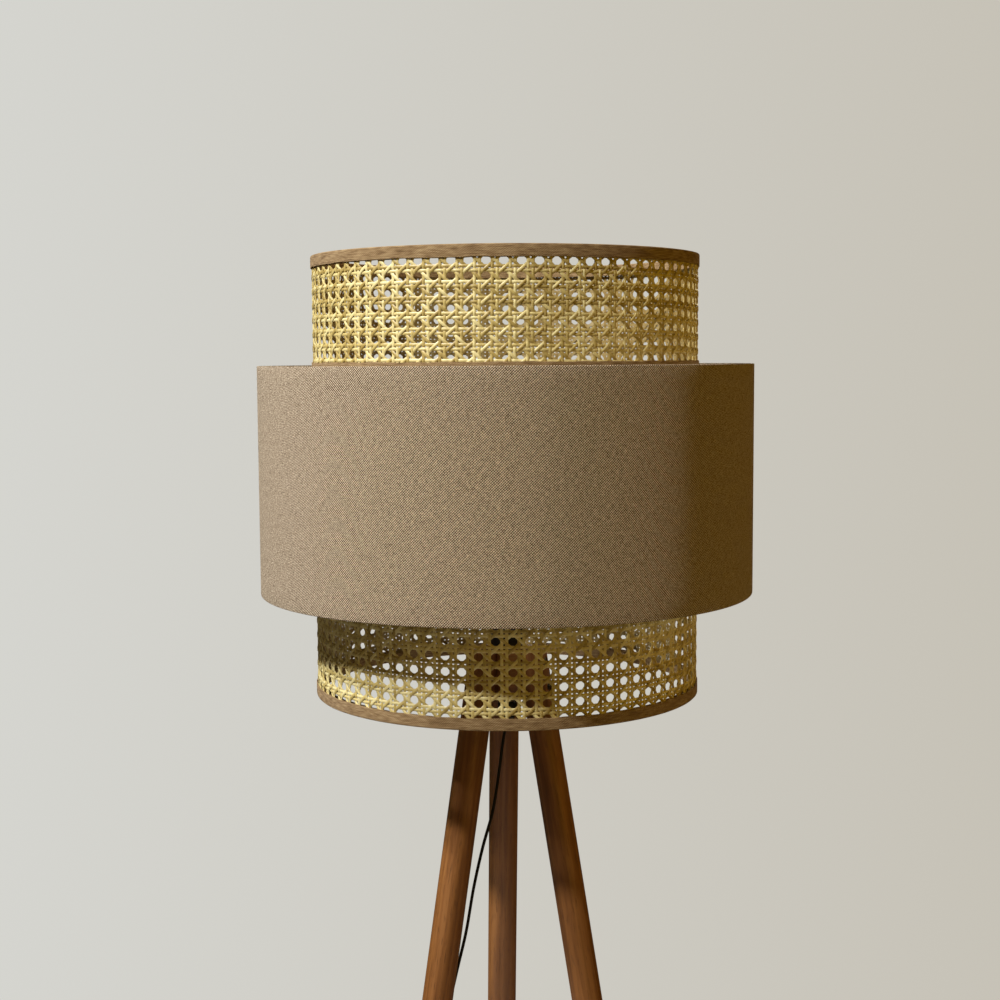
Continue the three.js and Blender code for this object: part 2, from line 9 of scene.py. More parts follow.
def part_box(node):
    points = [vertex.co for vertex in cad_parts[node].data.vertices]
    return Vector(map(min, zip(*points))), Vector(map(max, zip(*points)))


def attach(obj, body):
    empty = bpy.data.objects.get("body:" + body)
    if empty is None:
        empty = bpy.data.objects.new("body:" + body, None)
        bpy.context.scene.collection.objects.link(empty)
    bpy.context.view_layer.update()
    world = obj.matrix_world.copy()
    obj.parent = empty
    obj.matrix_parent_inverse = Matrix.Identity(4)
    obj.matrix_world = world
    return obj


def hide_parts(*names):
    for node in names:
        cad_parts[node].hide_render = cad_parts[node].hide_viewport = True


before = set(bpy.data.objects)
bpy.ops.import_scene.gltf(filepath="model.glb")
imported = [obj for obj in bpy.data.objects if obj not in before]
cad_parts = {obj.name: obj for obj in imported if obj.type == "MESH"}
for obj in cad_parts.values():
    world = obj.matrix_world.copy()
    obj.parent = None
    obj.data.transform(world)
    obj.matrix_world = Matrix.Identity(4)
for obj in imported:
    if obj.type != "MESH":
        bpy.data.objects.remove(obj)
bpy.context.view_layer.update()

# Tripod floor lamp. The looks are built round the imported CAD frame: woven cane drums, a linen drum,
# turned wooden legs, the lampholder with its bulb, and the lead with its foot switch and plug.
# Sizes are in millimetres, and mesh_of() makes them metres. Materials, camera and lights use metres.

MM = 0.001
TURN = 2 * math.pi


def span(node):
    """A CAD node's lowest and highest corners, in millimetres."""
    return [[float(x) / MM for x in corner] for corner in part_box(node)]


def extent(node):
    """The heights a CAD node starts and ends at, and how far it goes along X, in millimetres."""
    low, high = span(node)
    return low[2], high[2], high[0]


def polar(radius, degrees, height=0.0):
    angle = math.radians(degrees)
    return Vector((radius * math.cos(angle), radius * math.sin(angle), height))


def put(name, data):
    """A new object in the scene that holds a mesh, a lamp or a camera."""
    made = bpy.data.objects.new(name, data)
    bpy.context.scene.collection.objects.link(made)
    return made


# ---- camera ----

CAMERA_AT = (-0.0002, -1.4483, 1.3534)
CAMERA_LENS = 56.77
SENSOR_WIDTH = 36
CAMERA_PITCH = math.radians(5.12)
CAMERA_YAW = math.radians(-0.215)
CAMERA_ROLL = math.radians(-0.33)


def make_camera():
    camera = put("camera", bpy.data.cameras.new("camera"))
    camera.data.lens = CAMERA_LENS
    camera.data.sensor_width = SENSOR_WIDTH
    flat, drop = math.cos(CAMERA_PITCH), math.sin(CAMERA_PITCH)
    forward = Vector((math.sin(CAMERA_YAW) * flat, math.cos(CAMERA_YAW) * flat, -drop))
    level = Vector((math.cos(CAMERA_YAW), -math.sin(CAMERA_YAW), 0))
    upright = level.cross(forward)
    right = math.cos(CAMERA_ROLL) * level + math.sin(CAMERA_ROLL) * upright
    up = math.cos(CAMERA_ROLL) * upright - math.sin(CAMERA_ROLL) * level
    turn = Matrix((right, up, -forward)).transposed().to_4x4()
    camera.matrix_world = Matrix.Translation(CAMERA_AT) @ turn
    bpy.context.scene.camera = camera


make_camera()


# ---- materials ----


def rgb(red, green, blue):
    """A linear colour from the usual 0 to 255 screen values."""
    parts = [x / 255 for x in (red, green, blue)]
    return [x / 12.92 if x <= 0.04045 else ((x + 0.055) / 1.055) ** 2.4 for x in parts] + [1.0]


class Recipe:
    """A material or a world: its shader, and the nodes that feed it."""

    def __init__(self, made, shader, **inputs):
        made.use_nodes = True
        self.material = made
        self.tree = made.node_tree
        self.shader = self.tree.nodes[shader]
        for key, value in inputs.items():
            self.shader.inputs[key.replace("_", " ")].default_value = value

    def feed(self, socket, value):
        if isinstance(value, bpy.types.NodeSocket):
            self.tree.links.new(value, socket)
        else:
            socket.default_value = value

    def node(self, kind, inputs, output=0, **settings):
        made = self.tree.nodes.new("ShaderNode" + kind)
        for key, value in settings.items():
            setattr(made, key, value)
        for key, value in inputs.items():
            self.feed(made.inputs[key], value)
        return made.outputs[output]

    def math(self, operation, first, second):
        return self.node("Math", {0: first, 1: second}, operation=operation)

    def plus(self, first, second):
        return self.math("ADD", first, second)

    def times(self, first, second):
        return self.math("MULTIPLY", first, second)

    def place(self):
        return self.node("TexCoord", {}, output="Object")

    def attribute(self, name, output="Vector"):
        return self.node("Attribute", {}, output=output, attribute_name=name)

    def stretched(self, vector, scale):
        return self.node("VectorMath", {0: vector, 1: scale}, operation="MULTIPLY")

    def round_the_axis(self, radius):
        """Where a point is on a drum of this radius, in metres: along the wall, and up it."""
        parts = self.tree.nodes.new("ShaderNodeSeparateXYZ")
        self.feed(parts.inputs[0], self.place())
        angle = self.math("ARCTAN2", parts.outputs[1], parts.outputs[0])
        return self.times(angle, radius), parts.outputs[2]

    def pair(self, along, up):
        return self.node("CombineXYZ", {0: along, 1: up})

    def noise(self, vector, scale, detail=2.0, distortion=0.0):
        inputs = {"Vector": vector, "Scale": scale, "Detail": detail, "Distortion": distortion}
        return self.node("TexNoise", inputs)

    def wave(self, value, period):
        """A smooth wave from 0 to 1 along value, which is in metres, as period is."""
        swing = self.math("SINE", self.times(value, TURN / period), 0.0)
        return self.plus(self.times(swing, 0.5), 0.5)

    def blend_of(self, *shares):
        """The weighted sum of (weight, value) pairs."""
        total = 0.0
        for weight, value in shares:
            total = self.plus(total, self.times(value, weight))
        return total

    def shades(self, factor, *stops):
        """A colour ramp. Each stop is its place, from 0 to 1, and its red, green and blue."""
        made = self.tree.nodes.new("ShaderNodeValToRGB")
        self.feed(made.inputs[0], factor)
        points = made.color_ramp.elements
        while len(points) < len(stops):
            points.new(0.5)
        for point, (place, *colour) in zip(points, stops):
            point.position = place
            point.color = rgb(*colour)
        return made.outputs[0]

    def level(self, factor, low, high):
        """The factor, from 0 to 1, laid out between low and high."""
        return self.node("MapRange", {0: factor, 1: 0.0, 2: 1.0, 3: low, 4: high})

    def above(self, factor, start, end):
        """0 up to start, 1 from end on, and smooth between them."""
        inputs = {0: factor, 1: start, 2: end, 3: 0.0, 4: 1.0}
        return self.node("MapRange", inputs, interpolation_type="SMOOTHSTEP")

    def mix(self, factor, first, second):
        inputs = {0: factor, 6: first, 7: second}
        return self.node("Mix", inputs, output=2, data_type="RGBA")

    def colour(self, value):
        self.feed(self.shader.inputs["Base Color"], value)

    def roughness(self, value):
        self.feed(self.shader.inputs["Roughness"], value)

    def bump(self, height, depth):
        """Height from 0 to 1 as relief of this depth, in metres."""
        inputs = {"Height": height, "Distance": depth, "Strength": 1.0}
        self.feed(self.shader.inputs["Normal"], self.node("Bump", inputs))


def new_recipe(name, **inputs):
    return Recipe(bpy.data.materials.new(name), "Principled BSDF", **inputs)


CLOTH = {"Sheen_Weight": 0.03, "Sheen_Roughness": 0.5, "Diffuse_Roughness": 0.2}
METAL = {"Metallic": 1.0}


def cane_material():
    """Split cane: a tone for each strand, fine grain, brown flecks, and darker inner faces: partly the
    duller pith, partly painted shade for the dim inside of the drums.
    """
    made = new_recipe("woven_cane", Coat_Weight=0.12, Coat_Roughness=0.3)
    place = made.place()
    strand = made.attribute("strand", output="Fac")
    fine = made.noise(place, 420, detail=3)
    broad = made.noise(place, 28)
    tone = made.blend_of((0.5, strand), (0.35, fine), (0.25, broad))
    straw = made.shades(tone, (0.25, 164, 138, 72), (0.5, 210, 188, 118), (0.8, 242, 227, 166))
    fleck = made.above(made.noise(place, 260, detail=1), 0.68, 0.76)
    bark = made.mix(made.times(fleck, 0.35), straw, rgb(150, 108, 52))
    # The inner faces are made darker: partly the duller pith side of real cane, partly painted shade
    # where the inside of the drums is in shadow.
    pith_and_painted_shade = made.times(made.attribute("pith_and_painted_shade", output="Fac"), 0.75)
    made.colour(made.mix(pith_and_painted_shade, bark, rgb(126, 98, 50)))
    made.roughness(made.level(fine, 0.32, 0.55))
    made.bump(fine, 0.00012)
    return made.material


def linen_material():
    """A heathered twill: diagonal lines, thick and thin yarns across and up, and odd dark slubs."""
    made = new_recipe("linen", Specular_IOR_Level=0.15, **CLOTH)
    along, up = made.round_the_axis(0.225)
    wander = made.times(made.noise(made.place(), 90), 0.0008)
    slant = made.plus(made.math("SUBTRACT", along, up), wander)
    twill = made.wave(slant, 0.0021)
    across = made.noise(made.pair(made.times(along, 0.2), up), 1300, detail=3)
    upright = made.noise(made.pair(along, made.times(up, 0.16)), 1200, detail=2)
    slub = made.noise(made.pair(made.times(along, 0.09), up), 800, detail=1)
    speck = made.noise(made.place(), 1500, detail=2)
    counter = made.wave(made.plus(along, made.plus(up, wander)), 0.0024)
    tone = made.blend_of((0.5, twill), (0.25, counter), (0.5, across), (0.3, upright), (0.5, speck))
    half = made.times(tone, 0.5)
    yarn = made.shades(half, (0.39, 54, 36, 20), (0.51, 138, 115, 88), (0.63, 237, 218, 190))
    dark = made.times(made.above(slub, 0.62, 0.72), 0.3)
    made.colour(made.mix(dark, yarn, rgb(98, 78, 56)))
    made.roughness(made.level(across, 0.82, 0.98))
    made.bump(made.blend_of((0.5, twill), (0.35, across), (0.3, upright)), 0.0005)
    return made.material


def tape_material():
    """Woven tape: slanting ribs, yarns of uneven tone that run along it, and loose fibres."""
    made = new_recipe("edge_tape", Specular_IOR_Level=0.2, **CLOTH)
    along, up = made.round_the_axis(0.176)
    rib = made.wave(made.plus(along, made.times(up, 1.5)), 0.0022)
    yarn = made.noise(made.pair(made.times(along, 0.12), up), 900, detail=3)
    broad = made.noise(made.pair(made.times(along, 0.4), up), 160, detail=2)
    tone = made.blend_of((0.12, rib), (0.7, yarn), (0.35, broad))
    made.colour(made.shades(tone, (0.36, 100, 75, 44), (0.56, 150, 121, 84), (0.76, 186, 159, 118)))
    made.roughness(made.level(yarn, 0.8, 0.95))
    made.bump(made.blend_of((0.5, rib), (0.6, yarn)), 0.0005)
    return made.material


def wood_material():
    """Stained wood. The grain runs along the "grain" attribute's third part."""
    made = new_recipe("stained_wood", Coat_Weight=0.2, Coat_Roughness=0.25)
    grain = made.attribute("grain")
    drift = made.noise(made.stretched(grain, (1.0, 1.0, 0.09)), 26, detail=3)
    rings = made.noise(made.stretched(grain, (1.0, 1.0, 0.035)), 210, detail=3, distortion=0.6)
    pores = made.noise(made.stretched(grain, (1.0, 1.0, 0.05)), 1500, detail=1)
    tone = made.blend_of((0.55, drift), (0.5, rings))
    heart = made.shades(tone, (0.36, 104, 60, 24), (0.52, 138, 88, 42), (0.68, 166, 112, 58))
    pore = made.above(pores, 0.6, 0.68)
    made.colour(made.mix(made.times(pore, 0.45), heart, rgb(74, 40, 17)))
    made.roughness(made.level(rings, 0.38, 0.6))
    made.bump(made.blend_of((-0.7, pore), (0.3, rings)), 0.00012)
    return made.material


def speckled(name, first, second, scale, rough, relief, **inputs):
    """A moulded or metal finish: two close colours, uneven gloss and a fine relief."""
    made = new_recipe(name, **inputs)
    place = made.place()
    fine = made.noise(place, scale, detail=3)
    broad = made.noise(place, scale / 14, detail=2)
    tone = made.blend_of((0.5, fine), (0.5, broad))
    made.colour(made.shades(tone, (0.35, *first), (0.65, *second)))
    made.roughness(made.level(broad, rough - 0.1, rough + 0.1))
    made.bump(fine, relief)
    return made.material


# Name, two colours, grains in a metre, roughness, relief in metres, and other shader inputs.
FINISHES = [
    ("coated_wire", (205, 202, 192), (224, 221, 212), 1800, 0.42, 0.00006, {}),
    ("zinc_steel", (150, 153, 158), (188, 190, 194), 900, 0.34, 0.00002, METAL),
    ("brass", (178, 138, 72), (206, 168, 98), 700, 0.3, 0.00002, METAL),
    ("nickel", (186, 184, 178), (212, 210, 204), 800, 0.24, 0.00001, METAL),
    ("board_aluminium", (196, 198, 200), (222, 224, 226), 600, 0.4, 0.00001, METAL),
    ("black_plastic", (17, 17, 18), (30, 30, 31), 2600, 0.46, 0.00004, {}),
    ("black_rubber", (20, 20, 20), (38, 37, 36), 1500, 0.78, 0.00008, {}),
    ("black_flex", (10, 10, 11), (20, 20, 21), 900, 0.36, 0.00002, {}),
    ("white_ceramic", (214, 211, 203), (232, 230, 224), 500, 0.3, 0.00002, {}),
    ("white_plastic", (222, 222, 218), (236, 236, 233), 700, 0.34, 0.00001, {}),
    ("opal_plastic", (232, 230, 222), (242, 240, 234), 60, 0.28, 0.00001, {"Subsurface_Weight": 0.3}),
    ("liner", (208, 204, 192), (224, 221, 211), 300, 0.5, 0.00003, {}),
]
MATERIALS = {
    "woven_cane": cane_material(),
    "linen": linen_material(),
    "edge_tape": tape_material(),
    "stained_wood": wood_material(),
}
for title, *finish, others in FINISHES:
    MATERIALS[title] = speckled(title, *finish, **others)


# ---- mesh helpers ----


def unit(vectors):
    return vectors / np.linalg.norm(vectors, axis=-1, keepdims=True)


def headings(path, axis=0, closed=False):
    """The way that a path goes at each of its points, which are counted along axis."""
    if closed:
        return unit(np.roll(path, -1, axis) - np.roll(path, 1, axis))
    return unit(np.gradient(path, axis=axis))


def mesh_of(points, faces, sharp=35.0):
    """A mesh from points in millimetres, facing outwards, smooth except across sharp edges."""
    mesh = bpy.data.meshes.new("shape")
    mesh.from_pydata((np.asarray(points, float) * MM).tolist(), [], faces)
    work = bmesh.new()
    work.from_mesh(mesh)
    bmesh.ops.recalc_face_normals(work, faces=work.faces)
    work.to_mesh(mesh)
    work.free()
    mesh.shade_smooth()
    mesh.set_sharp_from_angle(angle=math.radians(sharp))
    return mesh


def add(name, mesh, body, slot, material=None, stands_for=()):
    """Puts a finished mesh in the scene, on a body, with the finish of its slot."""
    piece = put(name, mesh)
    mesh.name = name
    mesh.materials.clear()
    mesh.materials.append(MATERIALS[material or slot])
    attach(piece, body)
    if stands_for:
        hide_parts(*stands_for)
    return piece


def finished(node, mesh, slot, body="base"):
    """The piece that stands for one CAD node."""
    return add(f"{node}_finished", mesh, body, slot, stands_for=[node])


def softened(corners, fillet, steps=4):
    """Profile corners (radius, height) with each one rounded. A third number is its own fillet."""
    points = []
    count = len(corners)
    for i, corner in enumerate(corners):
        here = Vector(corner[:2])
        before = Vector(corners[i - 1][:2]) - here
        after = Vector(corners[(i + 1) % count][:2]) - here
        reach = corner[2] if len(corner) > 2 else fillet
        reach = min(reach, 0.45 * before.length, 0.45 * after.length)
        if reach <= 0 or here.x == 0:
            points.append(here)
            continue
        start = here + before.normalized() * reach
        end = here + after.normalized() * reach
        for k in range(steps + 1):
            t = k / steps
            points.append((1 - t) ** 2 * start + 2 * t * (1 - t) * here + t * t * end)
    return points


def divided(points, step):
    """The profile with edges longer than step cut up, so that a thread can be formed on it."""
    result = []
    for here, after in zip(points, points[1:] + points[:1]):
        cuts = max(1, math.ceil((after - here).length / step)) if here.x and after.x else 1
        result += [here.lerp(after, k / cuts) for k in range(cuts)]
    return result


def turned(profile, segments, rule=None, start=0.0, sweep=360.0, sharp=35.0):
    """A turned mesh about the Z axis from a closed profile of (radius, height) points.
    rule(radius, angle, height) may change the radius. A sweep under 360 degrees has flat ends."""
    whole = sweep >= 360
    stops = segments if whole else segments + 1
    points, rings = [], []
    for radius, height in profile:
        first = len(points)
        if radius == 0:
            points.append((0.0, 0.0, height))
            rings.append([first] * stops)
            continue
        for k in range(stops):
            angle = math.radians(start + sweep * k / segments)
            reach = rule(radius, angle, height) if rule else radius
            points.append((reach * math.cos(angle), reach * math.sin(angle), height))
        rings.append(list(range(first, first + stops)))
    faces = []
    for here, after in zip(rings, rings[1:] + rings[:1]):
        for k in range(segments):
            n = (k + 1) % stops
            corners = [here[k], here[n], after[n], after[k]]
            corners = [c for i, c in enumerate(corners) if c != corners[i - 1]]
            if len(corners) > 2:
                faces.append(corners)
    if not whole:
        faces += [[ring[0] for ring in rings], [ring[-1] for ring in rings]]
    return mesh_of(points, faces, sharp)


def lathed(corners, fillet, segments, rule=None, step=None, steps=4, **settings):
    """A turned mesh from a profile's corners, each rounded, its edges cut up where step is given."""
    profile = softened(corners, fillet, steps)
    if step:
        profile = divided(profile, step)
    return turned(profile, segments, rule, **settings)


def lathed_piece(node, slot, *shape, body="base", **settings):
    """The piece that stands for a CAD node that is simply turned."""
    finished(node, lathed(*shape, **settings), slot, body)


def band(inner, outer, bottom, top):
    """The corners of a plain ring's profile."""
    return [(inner, bottom), (outer, bottom), (outer, top), (inner, top)]


def rod(radius, bottom, top, sides):
    """A plain rod about the Z axis, for cutting."""
    return lathed(band(0, radius, bottom, top), 0, sides)


def lofted(rings, closed=False, sharp=35.0):
    """A form through rings of points with equally many corners. Its ends are filled, or joined."""
    sides, stops = len(rings[0]), len(rings)
    faces = []
    for i in range(stops if closed else stops - 1):
        here, after = i * sides, (i + 1) % stops * sides
        for k in range(sides):
            n = (k + 1) % sides
            faces.append([here + k, here + n, after + n, after + k])
    if not closed:
        faces += [list(range(sides)), list(range((stops - 1) * sides, stops * sides))]
    return mesh_of([point for ring in rings for point in ring], faces, sharp)


def swept(path, widths, section, closed=False, sharp=50.0):
    """A section of (across, out) points carried along a path; widths are the across directions."""
    path, widths = np.asarray(path, float), np.asarray(widths, float)
    along = headings(path, closed=closed)
    widths = unit(widths - (widths * along).sum(1)[:, None] * along)
    outs = np.cross(along, widths)
    section = np.asarray(section, float)
    rings = path[:, None] + widths[:, None] * section[:, :1] + outs[:, None] * section[:, 1:]
    return lofted(rings, closed, sharp)


def circle(radius, sides):
    turns = [TURN * k / sides for k in range(sides)]
    return [(radius * math.cos(a), radius * math.sin(a)) for a in turns]


def shift(x, y, z):
    return Matrix.Translation((x, y, z))


def placed(mesh, matrix):
    """The mesh moved by a matrix whose translation is in millimetres."""
    matrix = matrix.copy()
    matrix.translation *= MM
    mesh.transform(matrix)
    return mesh


def turn_about(axis, degrees):
    return Matrix.Rotation(math.radians(degrees), 4, axis)


def carved(mesh, cutters):
    """The mesh with the cutters' meshes taken out of it."""
    body = put("carving", mesh)
    tools = [put("cutter", cutter) for cutter in cutters]
    for tool in tools:
        step = body.modifiers.new("cut", "BOOLEAN")
        step.operation = "DIFFERENCE"
        step.solver = "EXACT"
        step.object = tool
    seen = body.evaluated_get(bpy.context.evaluated_depsgraph_get())
    result = bpy.data.meshes.new_from_object(seen)
    for item in [body, *tools]:
        bpy.data.objects.remove(item)
    result.shade_smooth()
    result.set_sharp_from_angle(angle=math.radians(35))
    return result


# ---- the lead ----

CORD_WIDTH = 5.4  # a flat twin flex, across both cores
CORE_RADIUS = 1.37
COIL_AT = (80.0, 5.0)
COIL_WIDE = 36.0  # radius of the outermost turn's middle
COIL_NARROW = 28.2
COIL_TURNS = 5.5
COIL_LEVELS = (3.1, 8.5)
COIL_POINTS = 24  # in a turn
ROUTE_STEP = 2.0
# The flex's middle line: from the cord grip to the switch, on to the coil, and from it to the plug.
UPPER_ROUTE = [
    (-0.9, 0, 1018), (-1.6, 0, 1012.2), (-2.6, 0, 1006), (-4.2, -0.3, 997), (-8.4, -2.6, 966),
    (-14.2, -6.5, 932), (-23.6, -10.6, 899), (-32, -15.4, 863), (-39.4, -20.8, 822),
    (-47.5, -25.5, 789), (-58, -28.5, 745), (-72, -29.5, 690), (-90, -28, 610), (-106, -25, 520),
    (-118, -21, 420), (-127, -16, 310), (-132.5, -10, 200), (-135, -4.5, 115), (-135, 0, 66),
    (-130.5, 4.5, 28), (-118, 9, 7.5), (-103, 13, 4), (-91, 16, 6), (-80.1, 18.05, 7),
    (-78.1, 18.4, 7),
]
MIDDLE_ROUTE = [
    (8.1, 33.6, 7), (10.1, 33.95, 7), (22, 36.1, 5), (36, 38.3, 3.1), (48, 39.6, 2.9),
    (58.6, 40.4, 2.9),
]
TAIL_ROUTE = [
    (58.6, -30.6, 8), (47, -31.6, 6.2), (34, -33.6, 5), (20, -36.4, 5.8), (6.4, -38.9, 6.85),
    (4.4, -39.3, 6.85),
]


def coil_route():
    """Two layers of turns, clockwise: inwards on the floor, then outwards on top of them."""
    steps = round(COIL_TURNS * COIL_POINTS)
    points = []
    for i in range(1, steps):
        share = i / steps
        inwards = 1 - abs(2 * share - 1)
        radius = COIL_WIDE + (COIL_NARROW - COIL_WIDE) * inwards
        climb = min(1, max(0, (share - 0.5) * COIL_TURNS * 2 + 0.5))
        climb = climb * climb * (3 - 2 * climb)
        low, high = COIL_LEVELS
        place = polar(radius, 90 - 360 * COIL_TURNS * share, low + (high - low) * climb)
        points.append((COIL_AT[0] + place.x, COIL_AT[1] + place.y, place.z))
    return points


def smooth_curve(points, spacing):
    """Evenly spaced points on the centripetal curve through the given ones."""
    p = np.array(points, float)
    p = np.vstack([2 * p[0] - p[1], p, 2 * p[-1] - p[-2]])
    t = np.linspace(0, 1, 24, endpoint=False)[:, None]
    fine = []
    for before, here, after, beyond in zip(p, p[1:], p[2:], p[3:]):
        gaps = [math.dist(a, b) ** 0.5 for a, b in ((before, here), (here, after), (after, beyond))]
        first = (here - before) / gaps[0] - (after - before) / (gaps[0] + gaps[1])
        first = (first + (after - here) / gaps[1]) * gaps[1]
        last = (after - here) / gaps[1] - (beyond - here) / (gaps[1] + gaps[2])
        last = (last + (beyond - after) / gaps[2]) * gaps[1]
        start = (2 * t**3 - 3 * t**2 + 1) * here + (t**3 - 2 * t**2 + t) * first
        fine.append(start + (3 * t**2 - 2 * t**3) * after + (t**3 - t**2) * last)
    fine = np.vstack([*fine, p[-2]])
    travelled = np.concatenate([[0], np.cumsum(np.linalg.norm(np.diff(fine, axis=0), axis=1))])
    stops = np.linspace(0, travelled[-1], round(travelled[-1] / spacing) + 1)
    return np.stack([np.interp(stops, travelled, fine[:, k]) for k in range(3)], 1)


def twin_section():
    """Two round cores side by side, with the groove between them."""
    offset = CORD_WIDTH / 2 - CORE_RADIUS
    angles = [math.radians(a) for a in range(-157, 158, 31)]
    lobe = [(offset + CORE_RADIUS * math.cos(a), CORE_RADIUS * math.sin(a)) for a in angles]
    return lobe + [(-x, -y) for x, y in lobe]


def lead(name, route, tilts, stands_for):
    """A stretch of twin flex. tilts turns its wide side from level, 0, to upright, 1, along it.
    Where the route is steep the wide side lies along Y, and it turns smoothly between the two."""
    along = headings(route)
    level = np.cross([0, 0, 1], along)
    flatness = np.linalg.norm(level, axis=1)[:, None]
    steep = np.clip((0.9 - flatness) / 0.55, 0, 1)
    level = unit((1 - steep) * level / flatness + steep * np.array((0, 1, 0)))
    upright = unit(np.cross(along, level))
    angle = (tilts * math.pi / 2)[:, None]
    widths = np.cos(angle) * level + np.sin(angle) * upright
    mesh = swept(route, widths, twin_section(), sharp=60)
    return add(name, mesh, "base", "black_flex", stands_for=stands_for)


def route_length(route):
    return float(np.linalg.norm(np.diff(route, axis=0), axis=1).sum()) * MM


def make_leads():
    """The lead's two stretches, each as its piece and its middle line."""
    upper = smooth_curve(UPPER_ROUTE, ROUTE_STEP)
    hanging = lead("flex_to_switch", upper, np.zeros(len(upper)), ["cord_upper"])
    lower = smooth_curve(MIDDLE_ROUTE + coil_route() + TAIL_ROUTE, ROUTE_STEP)
    reach = np.linspace(0, route_length(lower) / MM, len(lower))
    rise = np.clip((reach - 22) / 60, 0, 1)
    fall = np.clip((reach[-1] - 14 - reach) / 60, 0, 1)
    upright = np.minimum(rise, fall)
    upright = upright * upright * (3 - 2 * upright)
    stored = lead("flex_to_plug", lower, upright, ["cord_middle", "cord_coil", "cord_tail"])
    return (hanging, upper), (stored, lower)


HANGING_LEAD, STORED_LEAD = make_leads()


# ---- cane drums ----

STRAND_HALF = 1.27  # half of a strand's width
SLANT_HALF = 1.28  # the same for the strands aslant
STRAND_THICK = 0.4  # half of a strand's thickness
UPRIGHT_HALF = 2.05  # from the middle of an upright pair to each of its strands
ROUND_HALF = 1.75  # the same for the pairs that go round
WEAVE_DEPTH = 1.1  # from the drum's outside to the middle of the weave
WEAVE_LIFT = 0.42  # how far a pair's strands bend out and in
CROSS_LIFT = 0.8  # the same for the strands aslant


def strand_section(half):
    """A flat strip of cane with its glossy side a little domed."""
    w, t = half, STRAND_THICK
    return np.array([(-w, -0.8 * t), (w, -0.8 * t), (w, 0), (0.5 * w, t), (-0.5 * w, t), (-w, 0)])


def over_under(offset, half):
    """1 where a pair's first strand is crossed, -1 at its second, and level away from it."""
    x = offset / half
    return x * np.exp(0.5 * (1 - x * x))


def strands(angles, heights, lifts, half, weave, closed=False):
    """Flat strands on a drum, a row of the arrays for each. Each strand has a tone of its own.
    weave has the drum's radius, the weave's tilt to the right and to the rear, the height it
    tilts about, and a seed."""
    angles, heights, lifts = np.broadcast_arrays(angles, heights, lifts)
    radius, (tilt, dip), middle, seed = weave
    angles = angles - tilt * (heights - middle) * np.sin(angles) / radius
    heights = heights - tilt * radius * np.cos(angles) - dip * radius * (1 + np.sin(angles))
    reach = radius + lifts
    path = np.stack([reach * np.cos(angles), reach * np.sin(angles), heights], 2)
    along = headings(path, 1, closed)
    outs = np.stack([np.cos(angles), np.sin(angles), np.zeros_like(angles)], 2)
    across = unit(np.cross(outs, along))
    normal = unit(np.cross(along, across))
    section = strand_section(half)
    points = across[:, :, None] * section[:, :1] + normal[:, :, None] * section[:, 1:]
    points += path[:, :, None]
    count, stops, sides = points.shape[:3]
    numbers = np.arange(count * stops * sides).reshape(count, stops, sides)
    after = np.roll(numbers, -1, 1)
    here = numbers
    if not closed:
        here, after = here[:, :-1], after[:, :-1]
    quads = np.stack([here, np.roll(here, -1, 2), np.roll(after, -1, 2), after], 3)
    faces = quads.reshape(-1, 4).tolist()
    if not closed:
        faces += numbers[:, 0].tolist() + numbers[:, -1].tolist()
    mesh = mesh_of(points.reshape(-1, 3), faces, sharp=55)
    tones = np.random.default_rng(seed).uniform(0, 1, count)
    # The inner faces, for the darker colour: partly the cane's pith side, partly painted shade.
    inside = section[:, 1] < -0.5 * STRAND_THICK
    values_of = {
        "strand": np.repeat(tones, stops * sides),
        "pith_and_painted_shade": np.tile(inside, count * stops),
    }
    for attribute, values in values_of.items():
        field = mesh.attributes.new(attribute, "FLOAT", "POINT")
        field.data.foreach_set("value", values.astype(np.float32))
    return mesh


